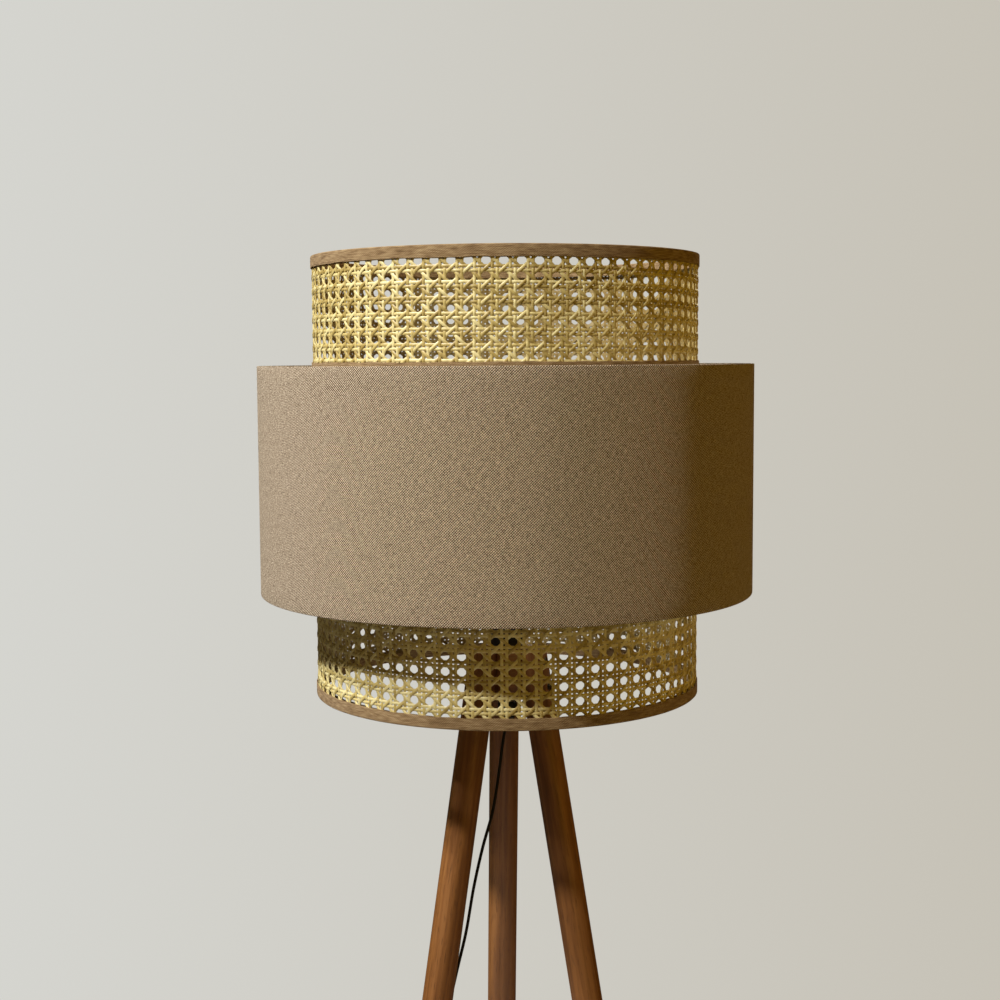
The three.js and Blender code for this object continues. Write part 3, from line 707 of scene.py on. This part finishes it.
def cane_drum(drum, columns, first_angle, top_row, pitch, tilts, seed):
    """An octagonal weave: pairs of strands up and round the drum, and single ones both ways
    aslant, which cross in the middle of each pair. top_row is the height of the first row of
    holes, pitch is between rows, and first_angle is where the middle of one hole is."""
    node = f"{drum}_drum_cane"
    low, high, outside = extent(node)
    radius = outside - WEAVE_DEPTH
    spare = 0.6 + tilts[0] * radius
    bottom, top = low + spare + 2 * tilts[1] * radius, high - spare
    weave = (radius, tilts, (bottom + top) / 2, seed)
    column = TURN / columns
    start = math.radians(first_angle) - column / 2  # the middle of an upright pair
    belt = top_row + pitch / 2  # the middle of a pair that goes round

    def lay(part, angles, heights, lifts, half, closed=False):
        mesh = strands(angles, heights, lifts, half, weave, closed)
        add(f"{drum}_cane_{part}", mesh, "shade", "woven_cane", stands_for=[node])

    heights = np.linspace(bottom, top, math.ceil((top - bottom) / pitch * 9) + 1)
    from_belt = (heights - belt + pitch / 2) % pitch - pitch / 2
    pairs = start + column * np.arange(columns)
    sides = np.repeat((-1, 1), columns)[:, None]
    angles = np.tile(pairs, 2)[:, None] + sides * UPRIGHT_HALF / radius
    lifts = -sides * WEAVE_LIFT * over_under(from_belt, ROUND_HALF)
    lay("uprights", angles, heights, lifts, STRAND_HALF)

    around = start + np.arange(columns * 8) * column / 8
    from_pair = ((around - start + column / 2) % column - column / 2) * radius
    rows = math.ceil((top - bottom) / pitch) + 1
    sides = np.tile((-1, 1), rows)
    levels = belt - np.repeat(np.arange(rows), 2) * pitch + sides * ROUND_HALF
    within = (bottom < levels) & (levels < top)
    lifts = sides[within, None] * WEAVE_LIFT * over_under(from_pair, UPRIGHT_HALF)
    lay("rounds", around, levels[within, None], lifts, STRAND_HALF, closed=True)

    crossing = np.cos(TURN * (heights - belt) / pitch)
    crossing = CROSS_LIFT * np.tanh(2.2 * crossing) / math.tanh(2.2)
    for way, part in ((1, "slants_up"), (-1, "slants_down")):
        angles = pairs[:, None] + column * (0.5 + way * (heights - belt) / pitch)
        lifts = crossing if way > 0 else -0.73 * crossing - 0.27 * CROSS_LIFT
        lay(part, angles, heights, lifts, SLANT_HALF)


cane_drum("upper", 76, -90.4, 1432.2, 12.65, (0.011, 0.008), 11)
cane_drum("lower", 77, -88.4, 1122.7, 12.96, (0.0, 0.0), 31)


# ---- edge tapes ----

WIRE_HALF = 1.5  # half of the thickness of the wire rings, the spokes and the bars
TAPE_THICK = 0.6


def edge_tape(drum, edge, seed):
    """A tape folded over a drum's edge, round the cane and the wire inside it."""
    node, wire = f"{drum}_drum_{edge}_tape", f"{drum}_drum_{edge}_wire"
    bottom, top, rim = extent(node)
    cane = extent(f"{drum}_drum_cane")[2] + 0.3
    outer = rim - 0.25
    inner = extent(wire)[2] - 2 * WIRE_HALF - 0.7
    if edge == "top":
        tip, far, way, hem = top + 0.5, bottom, 1, bottom
    else:
        tip, far, way, hem = bottom - 0.5, top, -1, top - 1.5
    under = tip - way * TAPE_THICK
    profile = [
        (cane, far), (outer, far), (outer, tip, 1.2), (inner, tip, 1.2), (inner, hem),
        (inner + TAPE_THICK, hem), (inner + TAPE_THICK, under, 0.8), (cane, under, 0.3),
    ]
    phases = np.random.default_rng(seed).uniform(0, TURN, 4)

    def waves(angle, counts):
        return sum(np.sin(n * angle + phase) for n, phase in zip(counts, phases))

    def uneven(radius, angle, height):
        return radius + 0.05 * waves(angle, (5, 13, 29, 61))

    mesh = lathed(profile, 0.25, 240, uneven, step=2.5, steps=3, sharp=60)
    for vertex in mesh.vertices:
        x, y, z = vertex.co
        if abs(z / MM - far) < 2.5:
            vertex.co.z += waves(math.atan2(y, x), (7, 17, 31, 47)) * 0.14 * MM
    mesh.update()
    tape = finished(node, mesh, "edge_tape", "shade")
    lap = [
        (outer - 0.1, far + way * 0.2), (outer + 0.5, far + way * 0.2),
        (outer + 0.5, tip + way * 0.3, 0.8), (outer - 2.5, tip + way * 0.3, 0.8),
        (outer - 2.5, tip - way * 0.2), (outer - 0.1, tip - way * 0.5),
    ]
    patch = lathed(lap, 0.15, 10, steps=2, start=87, sweep=5)
    overlap = add(f"{node}_lap", patch, "shade", "edge_tape")


for number, drum in enumerate(("upper", "lower")):
    for other, edge in enumerate(("top", "bottom")):
        edge_tape(drum, edge, 50 + 2 * number + other)


# ---- linen drum ----


def linen_drum():
    """The linen turned in over its wires, its stiff lining, and the seam where it overlaps."""
    bottom, top, outer = extent("linen_drum")
    cloth, hem = 0.6, 9
    inner = outer - 2.0
    hem_face = inner + 0.45
    profile = [
        (outer, bottom, 0.9), (outer, top, 0.9), (inner, top, 0.7), (inner, top - hem),
        (hem_face, top - hem), (hem_face, top - cloth), (outer - cloth, top - cloth),
        (outer - cloth, bottom + cloth), (hem_face, bottom + cloth), (hem_face, bottom + hem),
        (inner, bottom + hem), (inner, bottom, 0.7),
    ]
    shell = lathed(profile, 0.1, 256, step=12, steps=3)
    fabric = add("linen_cloth", shell, "shade", "linen", stands_for=["linen_drum"])
    edge = cloth + 0.1
    lining = band(inner + 0.5, outer - cloth - 0.05, bottom + edge, top - edge)
    liner = lathed(lining, 0.05, 256, step=30, steps=2)
    add("linen_lining", liner, "shade", "linen", material="liner")
    lap = band(outer - 0.2, outer + 0.5, bottom + 0.1, top - 0.1)
    strip = lathed(lap, 0.2, 6, step=12, steps=2, start=88.7, sweep=2.6)
    seam = add("linen_seam", strip, "shade", "linen")


linen_drum()


# ---- wire rings, carrier and bars ----

CARRIER_BORE = 20.4


def wires_round(name, count, first, path):
    """Equal wires set round the axis, each along the path turned by its own share."""
    for i in range(count):
        node = f"{name}_{i + 1}"
        across = np.tile((0, 1, 0), (len(path), 1))
        mesh = swept(path, across, circle(WIRE_HALF, 14), sharp=60)
        placed(mesh, turn_about("Z", first + 360 / count * i))
        finished(node, mesh, "coated_wire", "shade")


def wire_pieces():
    rings = [f"{d}_drum_{e}_wire" for d in ("upper", "lower") for e in ("top", "bottom")]
    for node in [*rings, "linen_top_wire", "linen_bottom_wire"]:
        bottom, top, edge = extent(node)
        middle, radius = (bottom + top) / 2, edge - WIRE_HALF
        profile = [(radius + x, middle + y) for x, y in circle(WIRE_HALF, 12)]
        lathed_piece(node, "coated_wire", profile, 0, 200, body="shade", sharp=80)
    bottom, top, rim = extent("carrier_ring")
    ring = band(CARRIER_BORE, rim, bottom, top)
    lathed_piece("carrier_ring", "coated_wire", ring, 0.5, 96, body="shade")
    inner = top + 1.8
    level = extent("lower_drum_cane")[1] + 2.3
    _, low_wire, edge = extent("linen_bottom_wire")
    outer, far = low_wire + 1.8, edge - WIRE_HALF
    route = [
        (24, 0, inner), (28, 0, inner), (34, 0, inner + 0.5), (46, 0, inner + 11),
        (59, 0, level - 5), (73, 0, level), (100, 0, level), (182, 0, level), (196, 0, level - 2),
        (210, 0, outer + 1), (far, 0, outer),
    ]
    wires_round("carrier_spoke", 3, 34.5, smooth_curve(route, 2.5))
    low_wire, _, edge = extent("upper_drum_bottom_wire")
    height, near = low_wire - 1.8, edge - 2 * WIRE_HALF
    route = [(x, 0, height) for x in (near, (near + far) / 2, far)]
    wires_round("link_bar", 4, 45, smooth_curve(route, 6))


wire_pieces()


# ---- legs, pads, screws and hub ----

LEG_ANGLES = {"left": 214.5, "right": -25.5, "rear": 94.5}
LEG_RADIUS = 14.0
FOOT_CIRCLE = 211.4
HUB_CIRCLE = 24.6
LEG_FLAT = 20.3  # from the axis to the legs' flats
HUB_FACE = 20  # and to the hub's
HUB_RADIUS = 28
SCREW_HEIGHTS = {"upper": 1075, "lower": 1053}
SHANK_HOLE = 3.3
HEAD_HOLE = 5.3
HEAD_DEPTH = 8
HUB_BOTTOM, HUB_TOP = extent("hub_block")[:2]
LEG_SLOPE = (FOOT_CIRCLE - HUB_CIRCLE) / HUB_TOP
LEG_LEAN = math.atan(LEG_SLOPE)


def trimmed(mesh, place, facing, round_over):
    """The mesh cut flat at a plane, without what lies on its facing side, the new edge rounded."""
    work = bmesh.new()
    work.from_mesh(mesh)
    everything = work.verts[:] + work.edges[:] + work.faces[:]
    plane = {"plane_co": Vector(place) * MM, "plane_no": facing}
    cut = bmesh.ops.bisect_plane(work, geom=everything, dist=1e-7, clear_outer=True, **plane)
    rim = [e for e in cut["geom_cut"] if isinstance(e, bmesh.types.BMEdge)]
    bmesh.ops.edgeloop_fill(work, edges=rim)
    rounding = round_over * MM
    bmesh.ops.bevel(work, geom=rim, offset=rounding, segments=3, affect="EDGES", profile=0.5)
    bmesh.ops.recalc_face_normals(work, faces=work.faces)
    work.to_mesh(mesh)
    work.free()
    return mesh


def grained(mesh, matrix):
    """Stores where each point is in the wood's own frame, whose Z runs along the grain."""
    points = np.array([(matrix @ v.co)[:] for v in mesh.vertices], np.float32)
    layer = mesh.attributes.new("grain", "FLOAT_VECTOR", "POINT")
    layer.data.foreach_set("vector", points.ravel())
    return mesh


def screw_seat(height):
    """How far from the axis a screw's head is seated in its leg."""
    return FOOT_CIRCLE - LEG_SLOPE * height + LEG_RADIUS / math.cos(LEG_LEAN) - HEAD_DEPTH


def leg(side, number):
    node = f"leg_{side}"
    length = HUB_TOP / math.cos(LEG_LEAN)
    profile = [(0, -12), (LEG_RADIUS, -12), (LEG_RADIUS, length, 1.6), (0, length)]
    stand = shift(FOOT_CIRCLE, 0, 0) @ turn_about("Y", -math.degrees(LEG_LEAN))
    mesh = placed(lathed(profile, 0, 96, step=40), stand)
    mesh = trimmed(mesh, (0, 0, extent(node)[0]), (0, 0, -1), 0.8)
    mesh = trimmed(mesh, (LEG_FLAT, 0, 0), (-1, 0, 0), 0.4)
    cutters = []
    for height in SCREW_HEIGHTS.values():
        at = shift(0, 0, height) @ turn_about("Y", 90)
        for radius, start, sides in ((SHANK_HOLE, 0, 32), (HEAD_HOLE, screw_seat(height), 48)):
            cutters.append(placed(rod(radius, start, 90, sides), at))
    mesh = carved(mesh, cutters)
    back = stand.copy()
    back.translation *= MM
    grained(mesh, shift(0.11 * number, 0.07 * number, 0.9 * number) @ back.inverted())
    finished(node, placed(mesh, turn_about("Z", LEG_ANGLES[side])), "stained_wood")


def foot_pad(side):
    node = f"foot_pad_{side}"
    top = extent(node)[1]
    mesh = lathed([(0, 0), (12.5, 0, 1.2), (12.5, top, 0.5), (0, top)], 0.5, 64)
    at = polar(FOOT_CIRCLE - LEG_SLOPE * 4, LEG_ANGLES[side])
    finished(node, placed(mesh, shift(*at)), "black_rubber")


def leg_screws():
    """Cap screws with a hexagon socket, their heads sunk in the legs."""
    profile = [(0, -26), (2.4, -26, 0.6), (3, -24), (3, 0), (5, 0, 0.3), (5, 5.5, 0.7), (0, 5.5)]

    def knurl(radius, angle, height):
        on_head = radius > 4.9 and 0.6 < height < 4.6
        return radius + 0.1 * math.cos(36 * angle) * on_head

    body = carved(lathed(profile, 0, 144, knurl, step=0.8), [rod(2.9, 2.2, 7, 6)])
    placed(body, turn_about("Y", 90))
    for side, angle in LEG_ANGLES.items():
        for place, height in SCREW_HEIGHTS.items():
            at = turn_about("Z", angle) @ shift(screw_seat(height) + 0.3, 0, height)
            finished(f"leg_screw_{side}_{place}", placed(body.copy(), at), "zinc_steel")


def hub():
    """A round block with three flats for the legs, its edges eased."""
    half = math.degrees(math.acos(HUB_FACE / HUB_RADIUS))
    outline = []
    for angle in LEG_ANGLES.values():
        outline += [(angle + half + (120 - 2 * half) * k / 16) % 360 for k in range(17)]
    outline.sort()
    lower = [(1.2, HUB_BOTTOM), (0.4, HUB_BOTTOM + 0.3), (0, HUB_BOTTOM + 1.2)]
    upper = [(0, HUB_TOP - 1.2), (0.4, HUB_TOP - 0.3), (1.2, HUB_TOP)]
    rings = [[polar(HUB_RADIUS - inset, a, height) for a in outline] for inset, height in lower + upper]
    mesh = carved(lofted(rings), [rod(5.4, HUB_BOTTOM - 5, HUB_TOP + 5, 48)])
    finished("hub_block", grained(mesh, turn_about("Y", 90)), "stained_wood")


def screw_wave(angle, height, pitch):
    """From -1 in a thread's root to 1 on its crest."""
    return math.cos(TURN * height / pitch + angle)


def clamp_parts():
    """The lamp tube with its thread, and the washer and nut that hold it under the hub."""

    def thread(radius, angle, height):
        return radius - 0.35 * (0.5 - 0.5 * screw_wave(angle, height, 1)) * (radius > 4.5)

    bottom, top, _ = extent("lamp_tube")
    tube = band(3.6, 5, bottom, top)
    lathed_piece("lamp_tube", "brass", tube, 0.2, 40, thread, step=0.25, steps=2)
    bottom, top, _ = extent("hub_washer")
    lathed_piece("hub_washer", "zinc_steel", band(5.3, 11, bottom, top), 0.3, 72)
    bottom, top, _ = extent("hub_nut")
    rings = []
    for inset, height in ((0.9, bottom), (0, bottom + 0.6), (0, top - 0.6), (0.9, top)):
        ring = []
        for angle in range(0, 360, 5):
            flat = 7.0 / math.cos(math.radians((angle + 30) % 60 - 30))
            ring.append(polar(min(flat, 8.1 - inset), angle, height))
        rings.append(ring)
    nut = carved(lofted(rings, sharp=25), [rod(5.3, bottom - 2, top + 2, 48)])
    finished("hub_nut", nut, "zinc_steel")


def cord_grip():
    """A ribbed, tapering sleeve under a fluted collar."""
    bottom, top, _ = extent("cord_grip")
    profile = [(3.4, bottom), (4.9, bottom, 0.5)]
    for k in range(4):
        rise, wide = bottom + 1.5 + 2 * k, 5.1 + 0.5 * k
        profile += [(wide, rise), (wide + 0.5, rise + 0.5, 0.2), (wide + 0.5, rise + 1.3, 0.2)]
    profile += [(7.2, bottom + 9.6), (8.8, bottom + 11, 0.6), (8.8, top, 0.8)]
    profile += [(5.3, top), (5.3, bottom + 8.7), (3.4, bottom + 8.7)]

    def flutes(radius, angle, height):
        on_collar = radius > 8.5 and height > bottom + 12
        return radius - 0.35 * max(0, math.cos(12 * angle)) ** 4 * on_collar

    lathed_piece("cord_grip", "black_plastic", profile, 0.15, 96, flutes, step=1.5, steps=3)


for number, side in enumerate(LEG_ANGLES):
    leg(side, number)
    foot_pad(side)
leg_screws()
hub()
clamp_parts()
cord_grip()


# ---- lampholder ----

LAMP_THREAD = 3.63  # the pitch of the bulb's screw
HOLDER_THREAD = 3


def lampholder():
    bottom, top, wide = extent("holder_cap")
    profile = [
        (5.3, bottom), (13.5, bottom, 0.6), (15, bottom + 1.5, 0.6), (16, bottom + 16, 3),
        (wide, bottom + 23, 2), (wide, top, 0.4), (wide - 2, top), (wide - 2, bottom + 24),
        (14, bottom + 16), (13, bottom + 3), (5.3, bottom + 3),
    ]

    def ribs(radius, angle, height):
        ribbed = radius > wide - 0.3 and bottom + 25 < height < top - 1.5
        return radius - 0.4 * (ribbed and math.cos(30 * angle) > 0.2)

    lathed_piece("holder_cap", "black_plastic", profile, 0.3, 240, ribs, step=1.0)

    low, high, _ = extent("holder_skirt")
    flange = low + 3
    profile = [(wide - 2.4, low), (22.5, low), (22.5, flange), (wide, flange, 0.2)]
    profile += [(wide, high, 0.8), (wide - 2.4, high, 0.4)]

    def skirt_thread(radius, angle, height):
        if radius < wide - 0.6 or height < flange + 0.5 or height > high - 1.5:
            return radius
        return min(radius, wide - 0.9 * (0.5 - 0.5 * screw_wave(angle, height, HOLDER_THREAD)))

    lathed_piece("holder_skirt", "black_plastic", profile, 0.4, 96, skirt_thread, step=0.5)

    low, high, edge = extent("holder_insert")
    step = edge - 2.6
    profile = [(0, low), (edge, low), (edge, high - 1.5), (step, high - 1.5), (step, high), (0, high)]
    lathed_piece("holder_insert", "white_ceramic", profile, 0.4, 72)

    def rolled(radius, angle, height):
        return radius + 0.18 * screw_wave(angle, height, LAMP_THREAD)

    low, high, _ = extent("holder_screw_shell")
    shell = band(13.55, 13.95, low, high)
    lathed_piece("holder_screw_shell", "brass", shell, 0.1, 72, rolled, step=0.5, steps=2)

    floor = extent("holder_contact")[0]
    spring = ((-5, 0), (-4, 0), (-1.5, 0.7), (1.5, 1.1), (4, 1.4), (5, 1.3))
    strip = ((-2, 0), (-1.8, -0.05), (1.8, -0.05), (2, 0), (2, 0.4), (-2, 0.4))
    rings = [[(x, y, floor + z + t) for y, t in strip] for x, z in spring]
    finished("holder_contact", lofted(rings), "brass")

    low, high, edge = extent("shade_ring")
    profile = [(20.05, low), (edge, low, 0.5), (edge, low + 2, 0.3), (edge - 1.2, low + 2.6, 0.3)]
    profile += [(edge - 1.2, high, 0.6), (20.05, high, 0.4)]

    def lugs_and_thread(radius, angle, height):
        if radius < 20.5:
            return radius + 0.3 * screw_wave(angle, height, HOLDER_THREAD)
        lugged = radius > 23.5 and height > low + 2.8
        return radius - 0.7 * (lugged and math.cos(16 * angle) > 0.35)

    shape = (profile, 0.2, 192, lugs_and_thread, 0.6, 3)
    lathed_piece("shade_ring", "black_plastic", *shape, body="shade_ring")


lampholder()


# ---- bulb ----

DOME_RADIUS = 30.0
DOME_WALL = 1.2
DOME_LEAN = math.radians(20)  # how far the dome goes on below its widest part


def bulb():
    low, high, _ = extent("bulb_contact")
    profile = [(0, low), (4, low, 1.2), (4.6, high, 0.2), (0, high)]
    lathed_piece("bulb_contact", "nickel", profile, 0.3, 48, body="bulb")

    low, high, edge = extent("bulb_cap")
    body = edge - 0.4
    profile = [(0, low), (5.5, low, 0.8), (10, low + 3, 0.8), (body, low + 4.6, 0.5)]
    profile += [(body, high - 2), (edge, high - 1.6), (edge, high), (0, high)]

    def thread(radius, angle, height):
        if radius < edge - 0.6 or height < low + 5 or height > high - 3:
            return radius
        fade = min(1, (height - low - 5) / 1.5, (high - 3 - height) / 1.5)
        return body + fade * 0.55 * screw_wave(angle, height, LAMP_THREAD)

    shape = (profile, 0.2, 96, thread, 0.5, 3)
    lathed_piece("bulb_cap", "nickel", *shape, body="bulb", sharp=50)

    low, high, edge = extent("bulb_housing")
    profile = [(0, low), (13.6, low, 0.5), (15, low + 5.7, 3), (20.5, low + 19.7, 6)]
    profile += [(edge - 0.3, high - 3, 3), (edge, high, 0.4), (0, high)]
    shape = (profile, 0.3, 120, None, 3, 8)
    lathed_piece("bulb_housing", "white_plastic", *shape, body="bulb", sharp=45)

    low, high, _ = extent("bulb_board")
    lathed_piece("bulb_board", "board_aluminium", band(0, 22, low, high), 0.2, 72, body="bulb")

    low, high, _ = extent("bulb_dome")
    outline = []
    for inset in (0, DOME_WALL):
        radius, height = DOME_RADIUS - inset, high - low - inset
        arc = []
        for k in range(29):
            turn = -DOME_LEAN + (math.pi / 2 + DOME_LEAN) * k / 28
            lift = (math.sin(turn) + math.sin(DOME_LEAN)) / (1 + math.sin(DOME_LEAN))
            arc.append((radius * math.cos(turn) if k < 28 else 0, low + height * lift))
        outline += arc[::-1] if outline else arc
    lathed_piece("bulb_dome", "opal_plastic", outline, 0, 96, body="bulb", sharp=60)


bulb()


# ---- foot switch and plug ----

SWITCH_AT = (-35.0, 26.0)
SWITCH_TURN = 10
SWITCH_LENGTH = 78
SWITCH_WIDTH = 40
PLUG_AT = (6, -39)
PLUG_TURN = 190


def stadium(inset, height):
    """A ring of points round the switch, a box in plan with round ends along X."""
    radius, middle = SWITCH_WIDTH / 2 - inset, (SWITCH_LENGTH - SWITCH_WIDTH) / 2
    points = []
    for centre, start in ((middle, -90), (-middle, 90)):
        for k in range(21):
            at = polar(radius, start + 9 * k, height)
            points.append((at.x + centre, at.y, at.z))
    return points


def foot_switch():
    at = shift(*SWITCH_AT, 0) @ turn_about("Z", SWITCH_TURN)
    top = extent("switch_base")[1]
    levels = ((1.4, 0), (0.5, 0.2), (0.1, 0.8), (0, 1.6), (0, top - 0.4), (0.4, top))
    base = lofted([stadium(inset, height) for inset, height in levels])
    finished("switch_base", placed(base, at), "black_plastic")

    bottom, top, _ = extent("switch_cover")
    shoulder = bottom + 6
    rings = [stadium(0.5, bottom), stadium(0, bottom + 0.4), stadium(0, shoulder)]
    for k in range(1, 11):
        share = math.radians(9 * k)
        rise = (top - bottom - 6.4) * math.sin(share)
        rings.append(stadium(6.5 * (1 - math.cos(share)), shoulder + rise))
    rings += [stadium(9, top - 0.1), stadium(14, top)]
    groove = lathed(band(14.2, 15.4, top - 0.7, top + 2), 0, 96)
    cover = carved(lofted(rings), [rod(12.3, bottom + 3, top + 5, 96), groove])
    finished("switch_cover", placed(cover, at), "black_plastic")
    for number, side in enumerate((-1, 1)):
        profile = [(0, 0), (4.9, 0, 0.5), (4.9, 1.6, 0.3)]
        for k in range(3):
            start, wide = 1.8 + 1.7 * k, 4.5 - 0.3 * k
            profile += [(wide - 0.5, start), (wide, start + 0.3, 0.15), (wide, start + 1.2, 0.15)]
        boot = lathed([*profile, (3.3, 7, 0.3), (0, 7)], 0.1, 64, steps=3)
        placed(boot, at @ shift(side * 38, 0, bottom + 4.7 - 4) @ turn_about("Y", side * 90))
        add(f"switch_boot_{number + 1}", boot, "base", "black_rubber")

    bottom, top, _ = extent("switch_button")
    profile = [(0, bottom), (12, bottom, 0.3), (12, top - 1.6, 0.8), (10.5, top - 0.4, 0.6)]
    for k in range(3):
        edge = 8.6 - 2.4 * k
        profile += [(edge, top - 0.1, 0.2), (edge - 0.3, top - 0.7, 0.1)]
        profile += [(edge - 0.9, top - 0.7, 0.1), (edge - 1.2, top, 0.2)]
    button = placed(lathed([*profile, (0, top)], 0.2, 96, steps=3), at)
    finished("switch_button", button, "black_plastic", "switch_button")


def flat_plug():
    at = shift(*PLUG_AT, 0) @ turn_about("Z", PLUG_TURN)
    thick = extent("plug_body")[1]
    side = [(0, 3.6), (3, 4.2), (9, 5.2), (12, 7.2), (15, 11), (18, 13.6), (25, 15.8)]
    side += [(32, 17.4), (34.5, 16.6), (36, 14)]
    curve = smooth_curve([(x, y, 0) for x, y in side], 1.2)[:, :2]
    outline = [*curve, *(curve[::-1] * (1, -1))]
    middle = Vector((18, 0))
    rings = []
    for k in range(-6, 7):
        share = math.sin(math.radians(15 * k))
        inset = 1.6 * (1 - math.cos(math.radians(15 * k)))
        ring = []
        for x, y in outline:
            toward = (middle - Vector((x, y))).normalized()
            half = thick / 2 - 1.6 * max(0, 1 - x / 10)
            ring.append((x + toward.x * inset, y + toward.y * inset, thick / 2 + share * half))
        rings.append(ring)
    finished("plug_body", placed(lofted(rings, sharp=40), at), "black_plastic")
    for k in range(3):
        bar = lathed([(0, -9), (0.9, -9, 0.4), (0.9, 9, 0.4), (0, 9)], 0.1, 16, steps=3)
        placed(bar, at @ shift(19 + 4.5 * k, 0, thick - 0.35) @ turn_about("X", 90))
        add(f"plug_rib_{k + 1}", bar, "base", "black_plastic")
    for number, side in ((1, -1), (2, 1)):
        out = at @ shift(36.3, side * 9.3, thick / 2) @ turn_about("Y", 90)
        pin = lathed([(0, 0), (1.9, 0), (1.9, 19, 1.2), (0, 19)], 0.1, 40)
        finished(f"plug_pin_{number}", placed(pin, out), "nickel")
        sleeve = lathed([(1.8, 0), (2.05, 0), (2.05, 9.5, 0.1), (1.8, 9.5)], 0.05, 40, steps=2)
        add(f"plug_sleeve_{number}", placed(sleeve, out), "base", "black_plastic")


def coil_tie():
    """A strap round the coil's turns."""
    inner, outer = COIL_NARROW - 1.75, COIL_WIDE + 1.75
    path = [(r, 0, z) for r, z in softened(band(inner, outer, 0.25, 11.45), 1.5, 6)]
    across = np.tile((0, 1, 0), (len(path), 1))
    mesh = swept(path, across, band(-4, 4, -0.2, 0.2), closed=True)
    placed(mesh, shift(*COIL_AT, 0) @ turn_about("Z", -35))
    add("coil_tie", mesh, "base", "black_rubber")


foot_switch()
flat_plug()
coil_tie()


# ---- floor, light and background ----

FLOOR_RADIUS = 1500
FLOOR_FADE = (1.5, 0.9)  # where the floor has gone, and where it starts to go, in metres
LIGHT_AIM = Vector((0, 0, 1.2))
LIGHT_DISTANCE = 3.0
ROOM_LEFT = (0.046, 0.034, 0.014, 1.0)
ROOM_RIGHT = (0.036, 0.022, 0.003, 1.0)


def make_floor():
    made = new_recipe("floor")
    away = made.node("VectorMath", {0: made.place()}, output="Value", operation="LENGTH")
    grain = made.noise(made.place(), 40, detail=3)
    made.colour(made.shades(grain, (0.3, 206, 204, 198), (0.7, 214, 212, 207)))
    made.roughness(0.7)
    made.feed(made.shader.inputs["Alpha"], made.above(away, *FLOOR_FADE))
    points = [polar(FLOOR_RADIUS, 3.75 * k, -0.05) for k in range(96)]
    mesh = mesh_of(points, [list(range(96))])
    mesh.materials.append(made.material)
    put("floor", mesh)


def make_light(name, direction, size, power, colour):
    lamp = bpy.data.lights.new(name, "AREA")
    lamp.shape = "DISK"
    lamp.size = size
    lamp.energy = power
    lamp.color = colour
    holder = put(name, lamp)
    away = Vector(direction).normalized()
    holder.location = LIGHT_AIM + away * LIGHT_DISTANCE
    holder.rotation_mode = "QUATERNION"
    holder.rotation_quaternion = away.to_track_quat("Z", "Y")


def make_world():
    """A pale background, painted lighter on the left and darker and warmer on the right as a wall lit
    from the left, and a dim warm room light that comes mostly from the left.
    """
    world = bpy.data.worlds.new("room")
    bpy.context.scene.world = world
    made = Recipe(world, "Background")
    parts = made.node("SeparateXYZ", {0: made.node("TexCoord", {}, output="Generated")})

    def graded(start, end, first, second):
        return made.mix(made.node("MapRange", {0: parts, 1: start, 2: end}), first, second)

    # The background the camera sees: painted light, lighter on the left and darker and warmer on the
    # right.
    made.feed(made.shader.inputs[0], graded(-0.35, 0.35, rgb(214, 214, 209), rgb(197, 192, 180)))
    room = made.node("Background", {0: graded(-1.0, 1.0, ROOM_LEFT, ROOM_RIGHT)})
    seen = made.node("LightPath", {}, output="Is Camera Ray")
    both = made.node("MixShader", {0: seen, 1: room, 2: made.shader.outputs[0]})
    made.feed(made.tree.nodes["World Output"].inputs[0], both)


make_floor()
make_world()
make_light("key", (-0.490, -0.544, 0.681), 0.2, 72, (1.0, 1.0, 1.0))
make_light("side", (-0.633, -0.218, 0.743), 0.3, 66, (1.0, 1.0, 1.0))
make_light("fill", (0.490, -0.850, 0.170), 1.2, 8, (1.0, 0.62, 0.0))
make_light("rim", (0.950, 0.080, 0.260), 1.2, 8.5, (1.0, 0.5, 0.02))
make_light("back", (0.200, 0.950, 0.300), 1.6, 24, (1.0, 0.9, 0.76))
bpy.context.scene.view_settings.view_transform = "Standard"
